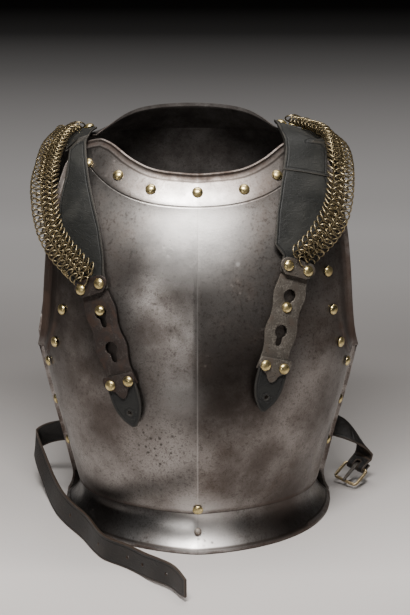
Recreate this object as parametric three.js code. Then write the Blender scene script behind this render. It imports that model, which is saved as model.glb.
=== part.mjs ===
// A heavy cavalry cuirass: a breastplate with a riveted waist flange, a backplate, two shoulder
// straps of leather under woven wire chain, and an open waist belt that lies on the ground.
// Millimetres, +Z up. The wearer faces -Y, so the wearer's left is +X, and the ground is Z = 0.
// The ridge of the breastplate lies in X = 0, and the two plates meet in the plane Y = 0.
import * as THREE from "three";

const vec = (x, y, z) => new THREE.Vector3(x, y, z);
const mix = THREE.MathUtils.lerp;

// Driving sizes of the plates
const HALF_WIDTH = 178; // body plates at the armpits, without their flanges
const FRONT_DEPTH = 160; // breastplate, from the joint of the plates to its fullest point
const RIDGE_HEIGHT = 13; // how far the central ridge stands before the round chest
const BACK_DEPTH = 134; // backplate, from the joint of the plates to its fullest point
const BODY_HEIGHT = 410; // waist to shoulder tops
const WAIST_HEIGHT = 30; // waist above the ground, at the sides
const BREAST_WALL = 2.6;
const BACK_WALL = 1.8;
const FLANGE_WALL = 1.8;
const PLATE_GAP = 0.5; // between plates that bear on each other
const BACK_LEAN = -8; // the backplate leans this far to the wearer's right, at its shoulders

// Driving sizes of the worked edges
const ARM_LIP = 6; // outward flange round an arm opening
const NECK_LIP = 4; // turned-up lip round the neck
const SIDE_LIP = 8.5; // folded side flange where the plates meet
const SIDE_TURN = 1.5; // radius of that fold
const NECK_BAND = 30; // stepped border under the front of the neck
const ARM_BAND = 22; // the same border where it runs round the arms
const BAND_STEP = 1.1; // how proud the border stands
const BAND_SLOPE = 2; // width of its sloped edge
const SEAM_DROP = 12; // the waist seam is this much higher in front than at the sides
const FLARE = 19; // how far the waist flange springs outwards
const BACK_FLARE = 8; // the same for the backplate's own skirt
const TUCK_GAP = 0.8; // between the breastplate and the flange inside it
const TUCK = 12; // how far the waist flange reaches up inside the breastplate

// Driving sizes of the fittings
const RIVET = 6; // radius of the domed brass rivets
const SMALL_RIVET = 4.2; // radius of the rivets of the flange and the belt
const DOME = 0.62; // height of a rivet dome as a share of its radius
const SEAT = 0.3; // clearance between pieces that lie on each other
const RIVET_SEAT = 0.45; // the same under a rivet on a curved plate
const FLANGE_RIVET_SEAT = 0.8; // the same in the hollow of the flange
const SHOULDER_RIVET_SEAT = 0.95; // the same on the bent leather
const LEATHER = 2.6; // wall of the shoulder leathers
const CHAIN_THICK = 8;
const HASP_LENGTH = 112; // keyhole plate, clip line to its lower end
const HASP_WIDTH = 38;
const HASP_WALL = 2;
const KEYHOLE = 7.2; // radius of a keyhole's round part
const KEYHOLE_SLOT = 6.8; // width of its slot
const KEYHOLE_RUN = 16; // round part's centre to the slot's end
const KEYHOLE_FIRST = 30; // clip line to the first keyhole's centre
const KEYHOLE_PITCH = 39;
const STUD_POST = 2.8; // radius of the stud's post
const STUD_RISE = 3; // how far the keyhole plate stands off the chest
const STUD_OFF = 3; // stud in a round part, above its centre
const CLIP_LENGTH = 18;
const CLIP_WALL = 2.4;
const CLIP_RIVETS = 12; // half the distance between the clip's two rivets
const CAP_WALL = 1.8;
const CAP_RIVETS = 11;
const TAB_WALL = 3;
const TAB_REACH = 45; // pull tab, past the end of the keyhole plate
const TAB_HOLE = 2.4;
const TAB_WIDTH = 34;
const BELT_WIDTH = 28;
const BELT_WALL = 2.8;
const BUCKLE_WIDTH = 35;
const BUCKLE_LENGTH = 30;
const BUCKLE_BAR = 2.1; // radius of the buckle's bars
const BUCKLE_CORNER = 4;
const LOOP_GAP = 0.6; // between the heel bar and what turns on it
const TONGUE_WIDTH = 4.5;
const TONGUE_WALL = 2.2;

// Sections of the breastplate from the waist up. at: place in the run of sections. up: share of
// the body height. wide, deep: shares of the half width and front depth. full: how square the
// section is, 2 being an ellipse. ridge: share of the ridge height.
const BREAST_SECTIONS = [
  { at: 0, up: 0, wide: 0.8, deep: 0.84, full: 2.25, ridge: 1 },
  { at: 0.15, up: 0.146, wide: 0.872, deep: 0.95, full: 2.3, ridge: 1 },
  { at: 0.3, up: 0.293, wide: 0.955, deep: 1, full: 2.35, ridge: 0.95 },
  { at: 0.42, up: 0.415, wide: 1.004, deep: 0.99, full: 2.35, ridge: 0.85 },
  { at: 0.56, up: 0.561, wide: 1.028, deep: 0.94, full: 2.3, ridge: 0.65 },
  { at: 0.7, up: 0.707, wide: 1.022, deep: 0.86, full: 2.3, ridge: 0.4 },
  { at: 0.82, up: 0.829, wide: 0.972, deep: 0.74, full: 2.25, ridge: 0.2 },
  { at: 0.92, up: 0.922, wide: 0.87, deep: 0.585, full: 2.2, ridge: 0.08 },
  { at: 1, up: 1, wide: 0.72, deep: 0.4, full: 2.15, ridge: 0 },
];

// Sections of the backplate, with the same columns.
const BACK_SECTIONS = [
  { at: 0, up: 0, wide: 0.8, deep: 0.58, full: 2.2, ridge: 0 },
  { at: 0.14, up: 0.146, wide: 0.872, deep: 0.66, full: 2.25, ridge: 0 },
  { at: 0.28, up: 0.293, wide: 0.945, deep: 0.78, full: 2.3, ridge: 0 },
  { at: 0.41, up: 0.439, wide: 0.985, deep: 0.9, full: 2.35, ridge: 0 },
  { at: 0.54, up: 0.585, wide: 1.018, deep: 0.97, full: 2.4, ridge: 0 },
  { at: 0.66, up: 0.732, wide: 1.026, deep: 1, full: 2.4, ridge: 0 },
  { at: 0.77, up: 0.854, wide: 1.02, deep: 0.97, full: 2.4, ridge: 0 },
  { at: 0.85, up: 0.912, wide: 1.0, deep: 0.91, full: 2.35, ridge: 0 },
  { at: 0.9, up: 0.935, wide: 0.965, deep: 0.875, full: 2.3, ridge: 0 },
  { at: 0.93, up: 0.955, wide: 0.86, deep: 0.84, full: 2.3, ridge: 0 },
  { at: 0.955, up: 0.971, wide: 0.71, deep: 0.805, full: 2.25, ridge: 0 },
  { at: 0.975, up: 0.983, wide: 0.6, deep: 0.775, full: 2.2, ridge: 0 },
  { at: 1, up: 1.03, wide: 0.48, deep: 0.62, full: 2.1, ridge: 0 },
];

// Outline of each plate. up: share of the body height. out: share of the section's own half
// width. top runs from the middle of the neck to the outer corner of the shoulder; side runs from
// the waist past the armpit and up the arm opening to that corner, and there fold is 1 along the
// folded side flange and 0 along the arm lip, and band is the share of the border's step.
const ARMPIT_RUN = 0.42;
const BREAST_OUTLINE = {
  top: [
    { run: 0, up: 0.922, out: 0 },
    { run: 0.33, up: 0.932, out: 0.32 },
    { run: 0.57, up: 0.958, out: 0.54 },
    { run: 0.76, up: 0.984, out: 0.71 },
    { run: 0.88, up: 0.99, out: 0.82 },
    { run: 1, up: 0.976, out: 0.905 },
  ],
  side: [
    { run: 0, up: 0, out: 1, fold: 1, band: 0 },
    { run: 0.3, up: 0.28, out: 1, fold: 1, band: 0 },
    { run: ARMPIT_RUN, up: 0.39, out: 1, fold: 0.9, band: 0.4 },
    { run: 0.47, up: 0.43, out: 0.963, fold: 0, band: 0.8 },
    { run: 0.54, up: 0.5, out: 0.912, fold: 0, band: 1 },
    { run: 0.64, up: 0.6, out: 0.88, fold: 0, band: 1 },
    { run: 0.76, up: 0.73, out: 0.868, fold: 0, band: 1 },
    { run: 0.88, up: 0.86, out: 0.883, fold: 0, band: 1 },
    { run: 1, up: 0.976, out: 0.905, fold: 0, band: 1 },
  ],
};
const BACK_OUTLINE = {
  top: [
    { run: 0, up: 1.026, out: 0 },
    { run: 0.2, up: 1.024, out: 0.45 },
    { run: 0.4, up: 1.016, out: 0.78 },
    { run: 0.52, up: 1.0, out: 0.935 },
    { run: 0.6, up: 0.984, out: 0.985 },
    { run: 0.72, up: 0.972, out: 0.98 },
    { run: 0.87, up: 0.956, out: 0.975 },
    { run: 1, up: 0.935, out: 0.965 },
  ],
  side: [
    { run: 0, up: 0, out: 1, fold: 1, band: 0 },
    { run: 0.3, up: 0.3, out: 1, fold: 1, band: 0 },
    { run: ARMPIT_RUN, up: 0.425, out: 1, fold: 0.9, band: 0.4 },
    { run: 0.47, up: 0.465, out: 0.978, fold: 0, band: 0.8 },
    { run: 0.54, up: 0.53, out: 0.958, fold: 0, band: 1 },
    { run: 0.66, up: 0.64, out: 0.945, fold: 0, band: 1 },
    { run: 0.8, up: 0.77, out: 0.945, fold: 0, band: 1 },
    { run: 0.92, up: 0.875, out: 0.955, fold: 0, band: 1 },
    { run: 1, up: 0.935, out: 0.965, fold: 0, band: 1 },
  ],
};

// Hollow sweep of the waist flange from its lower edge up. up: share of the waist height.
// out: share of the flare.
const FLARE_SECTIONS = [
  { up: 0, out: 1 },
  { up: 0.08, out: 1 },
  { up: 0.13, out: 0.93 },
  { up: 0.21, out: 0.76 },
  { up: 0.34, out: 0.51 },
  { up: 0.53, out: 0.25 },
  { up: 0.76, out: 0.07 },
];

// Domed rivets of the breastplate. out: share of the half width; up: share of the body height.
const NECK_RIVETS = [
  { out: 0, up: 0.895 },
  { out: 0.28, up: 0.9 },
  { out: 0.48, up: 0.927 },
  { out: 0.672, up: 0.945 },
];
const ARM_RIVETS = [
  { out: 0.797, up: 0.679 },
  { out: 0.835, up: 0.572 },
  { out: 0.89, up: 0.472 },
  { out: 0.944, up: 0.398 },
];
// Rivets on the flanks beside the folded flanges. around: share of the quarter turn.
const FLANK_RIVETS = [
  { around: 0.935, up: 0.245 },
  { around: 0.935, up: 0.118 },
];
// Rivets that hold the strap ends on the backplate, as shares of the leather's half width from
// its middle away from the neck, on the last row but one of its run. rise: extra seat in mm where
// the leather twists.
const SHOULDER_RIVETS = {
  right: [{ share: -0.68 }, { share: 0.06 }, { share: 0.75 }],
  left: [{ share: -0.76 }, { share: -0.3, rise: 0.4 }, { share: 0.24 }, { share: 0.76 }],
};

// Outlines of the strap-end pieces. along: share of the piece's length. half: share of its half
// width.
const HASP_OUTLINE = [
  { along: 0, half: 0.9 },
  { along: 0.1, half: 0.86 },
  { along: 0.26, half: 1 },
  { along: 0.45, half: 0.84 },
  { along: 0.62, half: 1 },
  { along: 0.8, half: 0.82 },
  { along: 1, half: 0.96 },
];
const CLIP_OUTLINE = [
  { along: 0, half: 0.78 },
  { along: 0.2, half: 1.02 },
  { along: 0.45, half: 1.1 },
  { along: 0.7, half: 1.02 },
  { along: 1, half: 0.7 },
];
const CAP_OUTLINE = [
  { along: 0, half: 0.94 },
  { along: 0.12, half: 1 },
  { along: 0.36, half: 0.98 },
  { along: 0.54, half: 0.74 },
  { along: 0.68, half: 0.4 },
  { along: 0.86, half: 0.28 },
  { along: 1, half: 0.06 },
];
const TAB_OUTLINE = [
  { along: 0, half: 0.94 },
  { along: 0.25, half: 1 },
  { along: 0.55, half: 0.97 },
  { along: 0.76, half: 0.76 },
  { along: 0.9, half: 0.46 },
  { along: 1, half: 0.14 },
];
const CAP_LENGTH = 26;
const CAP_START = 98; // along the keyhole plate

// The two shoulder straps, by the wearer's sides. side: sign of X. stud and tip: places on the
// chest of the stud and of the pull tab's tip. inSlot: whether the stud has slid to the slot's end.
const STRAPS = [
  {
    name: "right",
    side: -1,
    stud: { out: 0.577, up: 0.596 },
    tip: { out: 0.381, up: 0.319 },
    inSlot: false,
  },
  {
    name: "left",
    side: 1,
    stud: { out: 0.527, up: 0.607 },
    tip: { out: 0.379, up: 0.342 },
    inSlot: true,
  },
];

// Run of each shoulder leather from above its clip over the shoulder to the backplate. on: what
// carries that station. inner, middle, outer: shares of the half width; innerUp, middleUp,
// outerUp: shares of the body height. ahead: share of the front depth, positive behind the joint
// of the plates. lift: millimetres off the plate, which clear the clip's stack and the lips.
const LEATHER_RUNS = {
  right: [
    { on: "chest", inner: 0.545, outer: 0.8, innerUp: 0.735, outerUp: 0.69, lift: 6.2 },
    { on: "chest", inner: 0.57, outer: 0.82, innerUp: 0.8, outerUp: 0.765, lift: 6.2 },
    { on: "chest", inner: 0.62, outer: 0.81, innerUp: 0.875, outerUp: 0.845, lift: 7.8 },
    { on: "chest", inner: 0.645, outer: 0.77, innerUp: 0.925, outerUp: 0.905, lift: 9 },
    { on: "chest", inner: 0.66, outer: 0.75, innerUp: 0.985, outerUp: 0.965, lift: 9.5 },
    {
      on: "air", ahead: -0.263, inner: 0.669, innerUp: 1.01,
      middle: 0.73, middleUp: 1.002, outer: 0.82, outerUp: 0.968,
    },
    {
      on: "air", ahead: -0.1, inner: 0.663, innerUp: 1.01,
      middle: 0.736, middleUp: 0.995, outer: 0.82, outerUp: 0.961,
    },
    {
      on: "air", ahead: 0.062, inner: 0.635, innerUp: 1.007,
      middle: 0.747, middleUp: 0.99, outer: 0.854, outerUp: 0.963,
    },
    { on: "back", inner: 0.65, outer: 0.88, ahead: 0.188, lift: 6.5 },
    { on: "back", inner: 0.67, outer: 0.88, ahead: 0.287, lift: 5.6 },
    { on: "back", inner: 0.68, outer: 0.87, ahead: 0.388, lift: 6.2 },
  ],
  left: [
    { on: "chest", inner: 0.45, outer: 0.72, innerUp: 0.765, outerUp: 0.735, lift: 6.2 },
    { on: "chest", inner: 0.465, outer: 0.775, innerUp: 0.84, outerUp: 0.8, lift: 6.2 },
    { on: "chest", inner: 0.49, outer: 0.79, innerUp: 0.905, outerUp: 0.86, lift: 7.8 },
    { on: "chest", inner: 0.515, outer: 0.75, innerUp: 0.95, outerUp: 0.91, lift: 9 },
    { on: "chest", inner: 0.52, outer: 0.74, innerUp: 0.985, outerUp: 0.975, lift: 12.5 },
    {
      on: "air", ahead: -0.263, inner: 0.517, innerUp: 1.02,
      middle: 0.68, middleUp: 1.01, outer: 0.781, outerUp: 0.985,
    },
    {
      on: "air", ahead: -0.1, inner: 0.511, innerUp: 1.02,
      middle: 0.685, middleUp: 1, outer: 0.787, outerUp: 0.961,
    },
    {
      on: "air", ahead: 0.062, inner: 0.5, innerUp: 1.02,
      middle: 0.669, middleUp: 0.998, outer: 0.803, outerUp: 0.968,
    },
    { on: "back", inner: 0.48, outer: 0.82, ahead: 0.188, lift: 6.5 },
    { on: "back", inner: 0.5, outer: 0.82, ahead: 0.287, lift: 5.6 },
    { on: "back", inner: 0.51, outer: 0.81, ahead: 0.388, lift: 6.2 },
  ],
};

// Run of each chain from its clip, bowed off the leather, to the backplate. out, ahead, up: place
// of its middle, as above. side, back, down: direction across it, away from the neck.
const CHAIN_RUNS = {
  right: [
    { out: 0.837, ahead: -0.688, up: 0.744, side: 0.78, back: 0.6, down: 0.17 },
    { out: 0.921, ahead: -0.575, up: 0.8, side: 0.72, back: 0.66, down: 0.2 },
    { out: 0.961, ahead: -0.388, up: 0.878, side: 0.77, back: 0.55, down: 0.32 },
    { out: 0.949, ahead: -0.188, up: 0.929, side: 0.76, back: 0.1, down: 0.64 },
    { out: 0.904, ahead: 0.025, up: 0.978, side: 0.82, back: 0, down: 0.57 },
    { out: 0.837, ahead: 0.188, up: 1, side: 0.93, back: 0, down: 0.36 },
    { out: 0.82, ahead: 0.244, up: 1, side: 0.94, back: 0, down: 0.34 },
  ],
  left: [
    { out: 0.758, ahead: -0.756, up: 0.79, side: 0.8, back: 0.56, down: 0.2 },
    { out: 0.854, ahead: -0.637, up: 0.849, side: 0.74, back: 0.62, down: 0.25 },
    { out: 0.888, ahead: -0.46, up: 0.935, side: 0.72, back: 0.5, down: 0.48 },
    { out: 0.868, ahead: -0.2, up: 0.988, side: 0.72, back: 0.1, down: 0.69 },
    { out: 0.768, ahead: 0.025, up: 1.006, side: 0.82, back: 0, down: 0.57 },
    { out: 0.68, ahead: 0.188, up: 1.017, side: 0.93, back: 0, down: 0.36 },
    { out: 0.657, ahead: 0.244, up: 1.02, side: 0.94, back: 0, down: 0.34 },
  ],
};
const CHAIN_WIDTH = 40;
const CHAIN_CLEAR = 0.65; // over the leather at the clip

// Where both belts lie on the flanks of the backplate. around: share of the quarter turn.
const BELT_SEATS = [{ around: 0.55 }, { around: 0.62 }, { around: 0.69 }, { around: 0.76 }];
const BELT_LEVEL = 0.125; // lower edge there, as a share of the body height
const BELT_LIFT = 0.9;

// Edges of the long belt from the wearer's right flank to its free end. out, outOver: shares of
// the half width, of the lower and the upper edge. ahead, aheadOver: shares of the front depth.
// low, high: their heights in belt widths.
const LONG_BELT = [
  { out: 0.86, ahead: 0.225, low: 1.86, outOver: 0.871, aheadOver: 0.219, high: 2.82 },
  { out: 0.944, ahead: 0.219, low: 1.86, outOver: 0.966, aheadOver: 0.206, high: 2.79 },
  { out: 1.034, ahead: 0.25, low: 1.64, outOver: 1.062, aheadOver: 0.237, high: 2.57 },
  { out: 1.096, ahead: 0.256, low: 1.39, outOver: 1.112, aheadOver: 0.237, high: 2.32 },
  { out: 1.124, ahead: 0.206, low: 1.14, outOver: 1.101, aheadOver: 0.194, high: 2.14 },
  { out: 1.101, ahead: 0.113, low: 0.86, outOver: 1.062, aheadOver: 0.106, high: 1.82 },
  { out: 1.056, ahead: 0.013, low: 0.43, outOver: 1.017, aheadOver: 0.013, high: 1.39 },
  { out: 1.022, ahead: -0.087, low: 0.14, outOver: 0.983, aheadOver: -0.081, high: 1.11 },
  { out: 0.989, ahead: -0.2, low: 0, outOver: 0.944, aheadOver: -0.194, high: 0.96 },
  { out: 0.933, ahead: -0.412, low: 0, outOver: 0.888, aheadOver: -0.394, high: 0.96 },
  { out: 0.843, ahead: -0.613, low: 0, outOver: 0.798, aheadOver: -0.594, high: 0.96 },
  { out: 0.753, ahead: -0.762, low: 0, outOver: 0.713, aheadOver: -0.75, high: 0.98 },
  { out: 0.708, ahead: -0.863, low: 0, outOver: 0.669, aheadOver: -0.869, high: 0.98 },
  { out: 0.669, ahead: -0.963, low: 0, outOver: 0.635, aheadOver: -0.975, high: 0.98 },
  { out: 0.629, ahead: -1.05, low: 0, outOver: 0.596, aheadOver: -1.069, high: 0.98 },
  { out: 0.584, ahead: -1.131, low: 0, outOver: 0.545, aheadOver: -1.144, high: 0.98 },
  { out: 0.528, ahead: -1.181, low: 0, outOver: 0.489, aheadOver: -1.188, high: 0.98 },
  { out: 0.438, ahead: -1.25, low: 0, outOver: 0.404, aheadOver: -1.262, high: 0.98 },
  { out: 0.337, ahead: -1.369, low: 0.04, outOver: 0.315, aheadOver: -1.387, high: 1.02 },
  { out: 0.27, ahead: -1.475, low: 0.11, outOver: 0.258, aheadOver: -1.462, high: 1.11 },
  { out: 0.208, ahead: -1.525, low: 0.14, outOver: 0.213, aheadOver: -1.519, high: 1.14 },
  { out: 0.146, ahead: -1.587, low: 0.14, outOver: 0.152, aheadOver: -1.575, high: 1.14 },
  { out: 0.107, ahead: -1.675, low: 0.14, outOver: 0.107, aheadOver: -1.663, high: 1.11 },
  { out: 0.067, ahead: -1.744, low: 0.21, outOver: 0.067, aheadOver: -1.744, high: 0.96 },
];

// Middle of the short belt from the wearer's left flank to its buckle. level: height in belt
// widths. side, front, down: direction across it, towards its lower edge.
const SHORT_BELT = [
  { out: 0.893, ahead: 0.219, level: 2.64, side: -0.1, front: 0.35, down: 0.93 },
  { out: 0.978, ahead: 0.206, level: 2.5, side: 0, front: 0.65, down: 0.76 },
  { out: 1.056, ahead: 0.2, level: 2.21, side: 0.2, front: 0.8, down: 0.57 },
  { out: 1.118, ahead: 0.212, level: 1.82, side: 0.45, front: 0.8, down: 0.4 },
  { out: 1.146, ahead: 0.228, level: 1.39, side: 0.65, front: 0.72, down: 0.25 },
  { out: 1.135, ahead: 0.223, level: 1.07, side: 0.75, front: 0.65, down: 0.15 },
];
const LOOP_WIDTH = 23; // belt where it turns round the buckle's bar

// The buckle as it lies: middle of its heel bar, the bar's direction, and the frame's direction
// from that bar to the far one.
const BUCKLE_PLACE = { out: 1.087, ahead: 0.177, level: 0.718 };
const BAR_LINE = vec(0.771, -0.619, -0.148).normalize();
const FRAME_LINE = vec(-0.611, -0.647, -0.457).projectOnPlane(BAR_LINE).normalize();

const FIELD_CELLS = 10; // cells from the ridge to the border band, on each side
const SIDE_CELLS = 5; // cells from the waist to the armpit
const ARM_CELLS = 8; // cells from the armpit to the shoulder
const ARM_CROWDING = 1.5; // above 1, the arm cells are closer near the armpit
const LIP_CELLS = 2; // cells across a turned edge
const FLANGE_CELLS = 24;
const DOME_SIDES = 10;
const CORNER_CELLS = 3; // cells round a corner of the buckle
const BAR_SIDES = 8;
const STRIP_CELLS = 12; // cells along a strap-end piece
const MIN_HOLE = 0.05;
const SHOULDER_FROM = 0.75; // place in the run of sections above which a plate closes in

const STEEL = new THREE.MeshStandardMaterial({ color: 0x8d8984, roughness: 0.38, metalness: 0.95 });
const BRASS = new THREE.MeshStandardMaterial({ color: 0xb59a5a, roughness: 0.32, metalness: 0.95 });
const IRON = new THREE.MeshStandardMaterial({ color: 0x4a4038, roughness: 0.6, metalness: 0.8 });
const HIDE = new THREE.MeshStandardMaterial({ color: 0x262824, roughness: 0.65, metalness: 0 });


// Smooth reading of a table of rows at a share of its key column.
function sample(rows, key, share) {
  const last = rows.length - 1;
  let i = rows.findIndex((row) => row[key] >= share);
  i = THREE.MathUtils.clamp(i < 0 ? last : i, 1, last);
  const [a, b] = [rows[i - 1], rows[i]];
  const before = rows[i - 2] ?? a;
  const after = rows[i + 1] ?? b;
  const span = b[key] - a[key];
  const t = THREE.MathUtils.clamp((share - a[key]) / span, 0, 1);
  const read = {};
  for (const column of Object.keys(a)) {
    const slopeIn = ((b[column] - before[column]) / (b[key] - before[key])) * span;
    const slopeOut = ((after[column] - a[column]) / (after[key] - a[key])) * span;
    read[column] =
      a[column] * (1 - t) ** 2 * (1 + 2 * t) +
      b[column] * t * t * (3 - 2 * t) +
      slopeIn * t * (1 - t) ** 2 -
      slopeOut * t * t * (1 - t);
  }
  return read;
}

// The two body plates. facing: -1 in front, 1 behind. seat: how far the section plane stands off
// the joint of the plates, so that the folded side flanges bear on each other. lipped: share of
// the top edge, from its middle, that has the full turned lip.
const seatOf = (wall) => SIDE_TURN + wall + PLATE_GAP / 2;
const BREAST = {
  sections: BREAST_SECTIONS,
  outline: BREAST_OUTLINE,
  facing: -1,
  depth: FRONT_DEPTH,
  wall: BREAST_WALL,
  seat: seatOf(BREAST_WALL),
  drop: SEAM_DROP,
  lean: 0,
  lipped: 2,
};
const BACK = {
  sections: BACK_SECTIONS,
  outline: BACK_OUTLINE,
  facing: 1,
  depth: BACK_DEPTH,
  wall: BACK_WALL,
  seat: seatOf(BACK_WALL),
  drop: 0,
  lean: BACK_LEAN,
  lipped: 0.38,
};

// A section of a plate in millimetres.
function sectionOf(plate, at) {
  const row = sample(plate.sections, "at", at);
  return {
    z: WAIST_HEIGHT + row.up * BODY_HEIGHT,
    lean: row.up * plate.lean,
    wide: row.wide * HALF_WIDTH,
    deep: row.deep * plate.depth,
    full: row.full,
    ridge: row.ridge * RIDGE_HEIGHT,
  };
}

// Place in the run of sections that lies at a share of the body height.
function placeAtHeight(plate, up) {
  let low = 0;
  let high = 1;
  for (let i = 0; i < 30; i++) {
    const middle = (low + high) / 2;
    if (sample(plate.sections, "at", middle).up < up) low = middle;
    else high = middle;
  }
  return (low + high) / 2;
}

// A point of a plate's outer face. around: -1 to 1 from side to side.
function skinPoint(plate, around, at) {
  const s = sectionOf(plate, at);
  const turn = (around * Math.PI) / 2;
  const power = 2 / s.full;
  const x = Math.sign(turn) * s.wide * Math.abs(Math.sin(turn)) ** power;
  const round = s.deep * Math.max(0, Math.cos(turn)) ** power;
  const crest = s.ridge * (1 - Math.abs(x) / s.wide) ** 2;
  return vec(x + s.lean, plate.facing * (plate.seat + round + crest), s.z);
}

// The share of the quarter turn at which a section is a given share of its half width.
const aroundOf = (out, full) => (Math.asin(Math.min(1, out) ** (full / 2)) * 2) / Math.PI;

// Place of a row of an outline table on a plate's sections.
function onSections(plate, row, sign) {
  const at = placeAtHeight(plate, row.up);
  return { around: sign * aroundOf(row.out, sectionOf(plate, at).full), at };
}

// A place on a plate blended from its edges. u: -1 to 1 from side to side. v: 0 to 1 from the
// waist to the neck and shoulders. The side outline bends only the columns near it.
function blendPlace(plate, u, v) {
  const sign = Math.sign(u) || 1;
  const share = Math.abs(u);
  const rise = (plate.drop / BODY_HEIGHT) * (1 - u * u);
  const low = { around: u, at: placeAtHeight(plate, rise) };
  const high = onSections(plate, sample(plate.outline.top, "run", share), sign);
  const side = onSections(plate, sample(plate.outline.side, "run", v), sign);
  const shoulder = onSections(plate, plate.outline.top.at(-1), sign);
  const corner = { around: sign, at: 0 };
  const blend = (key) =>
    mix(low[key], high[key], v) + share ** 3 * (side[key] - mix(corner[key], shoulder[key], v));
  return { around: THREE.MathUtils.clamp(blend("around"), -1, 1), at: blend("at") };
}

function platePoint(plate, u, v) {
  const { around, at } = blendPlace(plate, u, v);
  return skinPoint(plate, around, at);
}

// Outward unit normal of a plate at a blended place.
function plateNormal(plate, u, v) {
  const { around, at } = blendPlace(plate, u, v);
  return plateNormalAt(plate, around, at);
}

function plateNormalAt(plate, around, at) {
  const step = 0.02;
  const right = skinPoint(plate, Math.min(1, around + step), at);
  const across = right.sub(skinPoint(plate, Math.max(-1, around - step), at));
  const above = skinPoint(plate, around, Math.min(1, at + step));
  const upward = above.sub(skinPoint(plate, around, Math.max(0, at - step)));
  return across.cross(upward).normalize().multiplyScalar(-plate.facing);
}

// Depth of a plate's outer face at a given X and Z, and its outward normal there.
function depthAt(plate, x, z) {
  const s = sectionOf(plate, placeAtHeight(plate, (z - WAIST_HEIGHT) / BODY_HEIGHT));
  const out = Math.min(0.999, Math.abs(x - s.lean) / s.wide);
  const round = s.deep * (1 - out ** s.full) ** (1 / s.full);
  return plate.facing * (plate.seat + round + s.ridge * (1 - out) ** 2);
}

function facePoint(plate, x, z, lift) {
  const step = 2;
  const slopeX = (depthAt(plate, x + step, z) - depthAt(plate, x - step, z)) / (2 * step);
  const slopeZ = (depthAt(plate, x, z + step) - depthAt(plate, x, z - step)) / (2 * step);
  const normal = vec(-slopeX, 1, -slopeZ).multiplyScalar(plate.facing).normalize();
  const point = vec(x, depthAt(plate, x, z), z).addScaledVector(normal, lift);
  return { point, normal };
}

// A closed mesh from points and triangles, turned so that its faces point out.
function closedGeometry(points, triangles) {
  let volume = 0;
  for (const [a, b, c] of triangles) {
    volume += points[a].dot(vec(0, 0, 0).crossVectors(points[b], points[c]));
  }
  const index = triangles.flatMap(([a, b, c]) => (volume < 0 ? [a, c, b] : [a, b, c]));
  const geometry = new THREE.BufferGeometry().setFromPoints(points);
  geometry.setIndex(index);
  geometry.computeVertexNormals();
  return geometry;
}

// A wall between an outer grid of points and its copy, offset inwards by the wall.
function wallGeometry(grid, wall, facing) {
  const rows = grid.length;
  const columns = grid[0].length;
  const normalAt = (r, c) => {
    const across = grid[r][Math.min(columns - 1, c + 1)].clone().sub(grid[r][Math.max(0, c - 1)]);
    const upward = grid[Math.min(rows - 1, r + 1)][c].clone().sub(grid[Math.max(0, r - 1)][c]);
    return across.cross(upward).normalize().multiplyScalar(-facing);
  };
  const outer = grid.flat();
  const inner = grid.flatMap((line, r) =>
    line.map((point, c) => point.clone().addScaledVector(normalAt(r, c), -wall)),
  );
  const points = [...outer, ...inner];
  const outerAt = (r, c) => r * columns + c;
  const innerAt = (r, c) => outer.length + r * columns + c;
  const triangles = [];
  const quad = (a, b, c, d) => triangles.push([a, b, c], [a, c, d]);
  for (let r = 0; r < rows - 1; r++) {
    for (let c = 0; c < columns - 1; c++) {
      for (const [at, turned] of [[outerAt, false], [innerAt, true]]) {
        const ring = [at(r, c), at(r, c + 1), at(r + 1, c + 1), at(r + 1, c)];
        if (turned) ring.reverse();
        const mirrored = c < (columns - 1) / 2; // diagonals of the two halves mirror each other
        if (mirrored !== turned) ring.push(ring.shift());
        quad(...ring);
      }
    }
  }
  const edge = (a, b) => quad(a[0], a[1], b[1], b[0]);
  const rim = (r, c) => [outerAt(r, c), innerAt(r, c)];
  for (let c = 0; c < columns - 1; c++) {
    edge(rim(0, c), rim(0, c + 1));
    edge(rim(rows - 1, c + 1), rim(rows - 1, c));
  }
  for (let r = 0; r < rows - 1; r++) {
    edge(rim(r + 1, 0), rim(r, 0));
    edge(rim(r, columns - 1), rim(r + 1, columns - 1));
  }
  return closedGeometry(points, triangles);
}

// Extra rows of a turned edge, as a quarter round. reach: past the edge. rise: off the surface.
const LIP_TURN = Array.from({ length: LIP_CELLS }, (_, i) => {
  const turn = (((i + 1) / LIP_CELLS) * Math.PI) / 2;
  return { reach: Math.sin(turn), rise: 1 - Math.cos(turn) };
});

// Shares of the way up a plate where its rows lie, before the border band.
const ROW_SHARES = [
  ...Array.from({ length: SIDE_CELLS }, (_, i) => (ARMPIT_RUN * i) / SIDE_CELLS),
  ...Array.from(
    { length: ARM_CELLS + 1 },
    (_, i) => ARMPIT_RUN + (1 - ARMPIT_RUN) * (i / ARM_CELLS) ** ARM_CROWDING,
  ),
];

// Steps of a grid line from the field over the border band and the turned edge. Shares are of
// the line from its start to the plate's edge, band being the border's share of it, and the
// field's shares up to kept stay where they are.
function lineSteps(field, kept, band, slope) {
  const squeeze = (1 - band - kept) / (1 - kept);
  const placed = (share) => (share < kept ? share : kept + (share - kept) * squeeze);
  return [
    ...field.map((share) => ({ share: placed(share), proud: 0, lip: 0 })),
    { share: 1 - band + slope, proud: 1, lip: 0 },
    { share: 1 - band / 2, proud: 1, lip: 0 },
    { share: 1, proud: 1, lip: 0 },
    ...LIP_TURN.map((_, i) => ({ share: 1, proud: 1, lip: i + 1 })),
  ];
}

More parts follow.
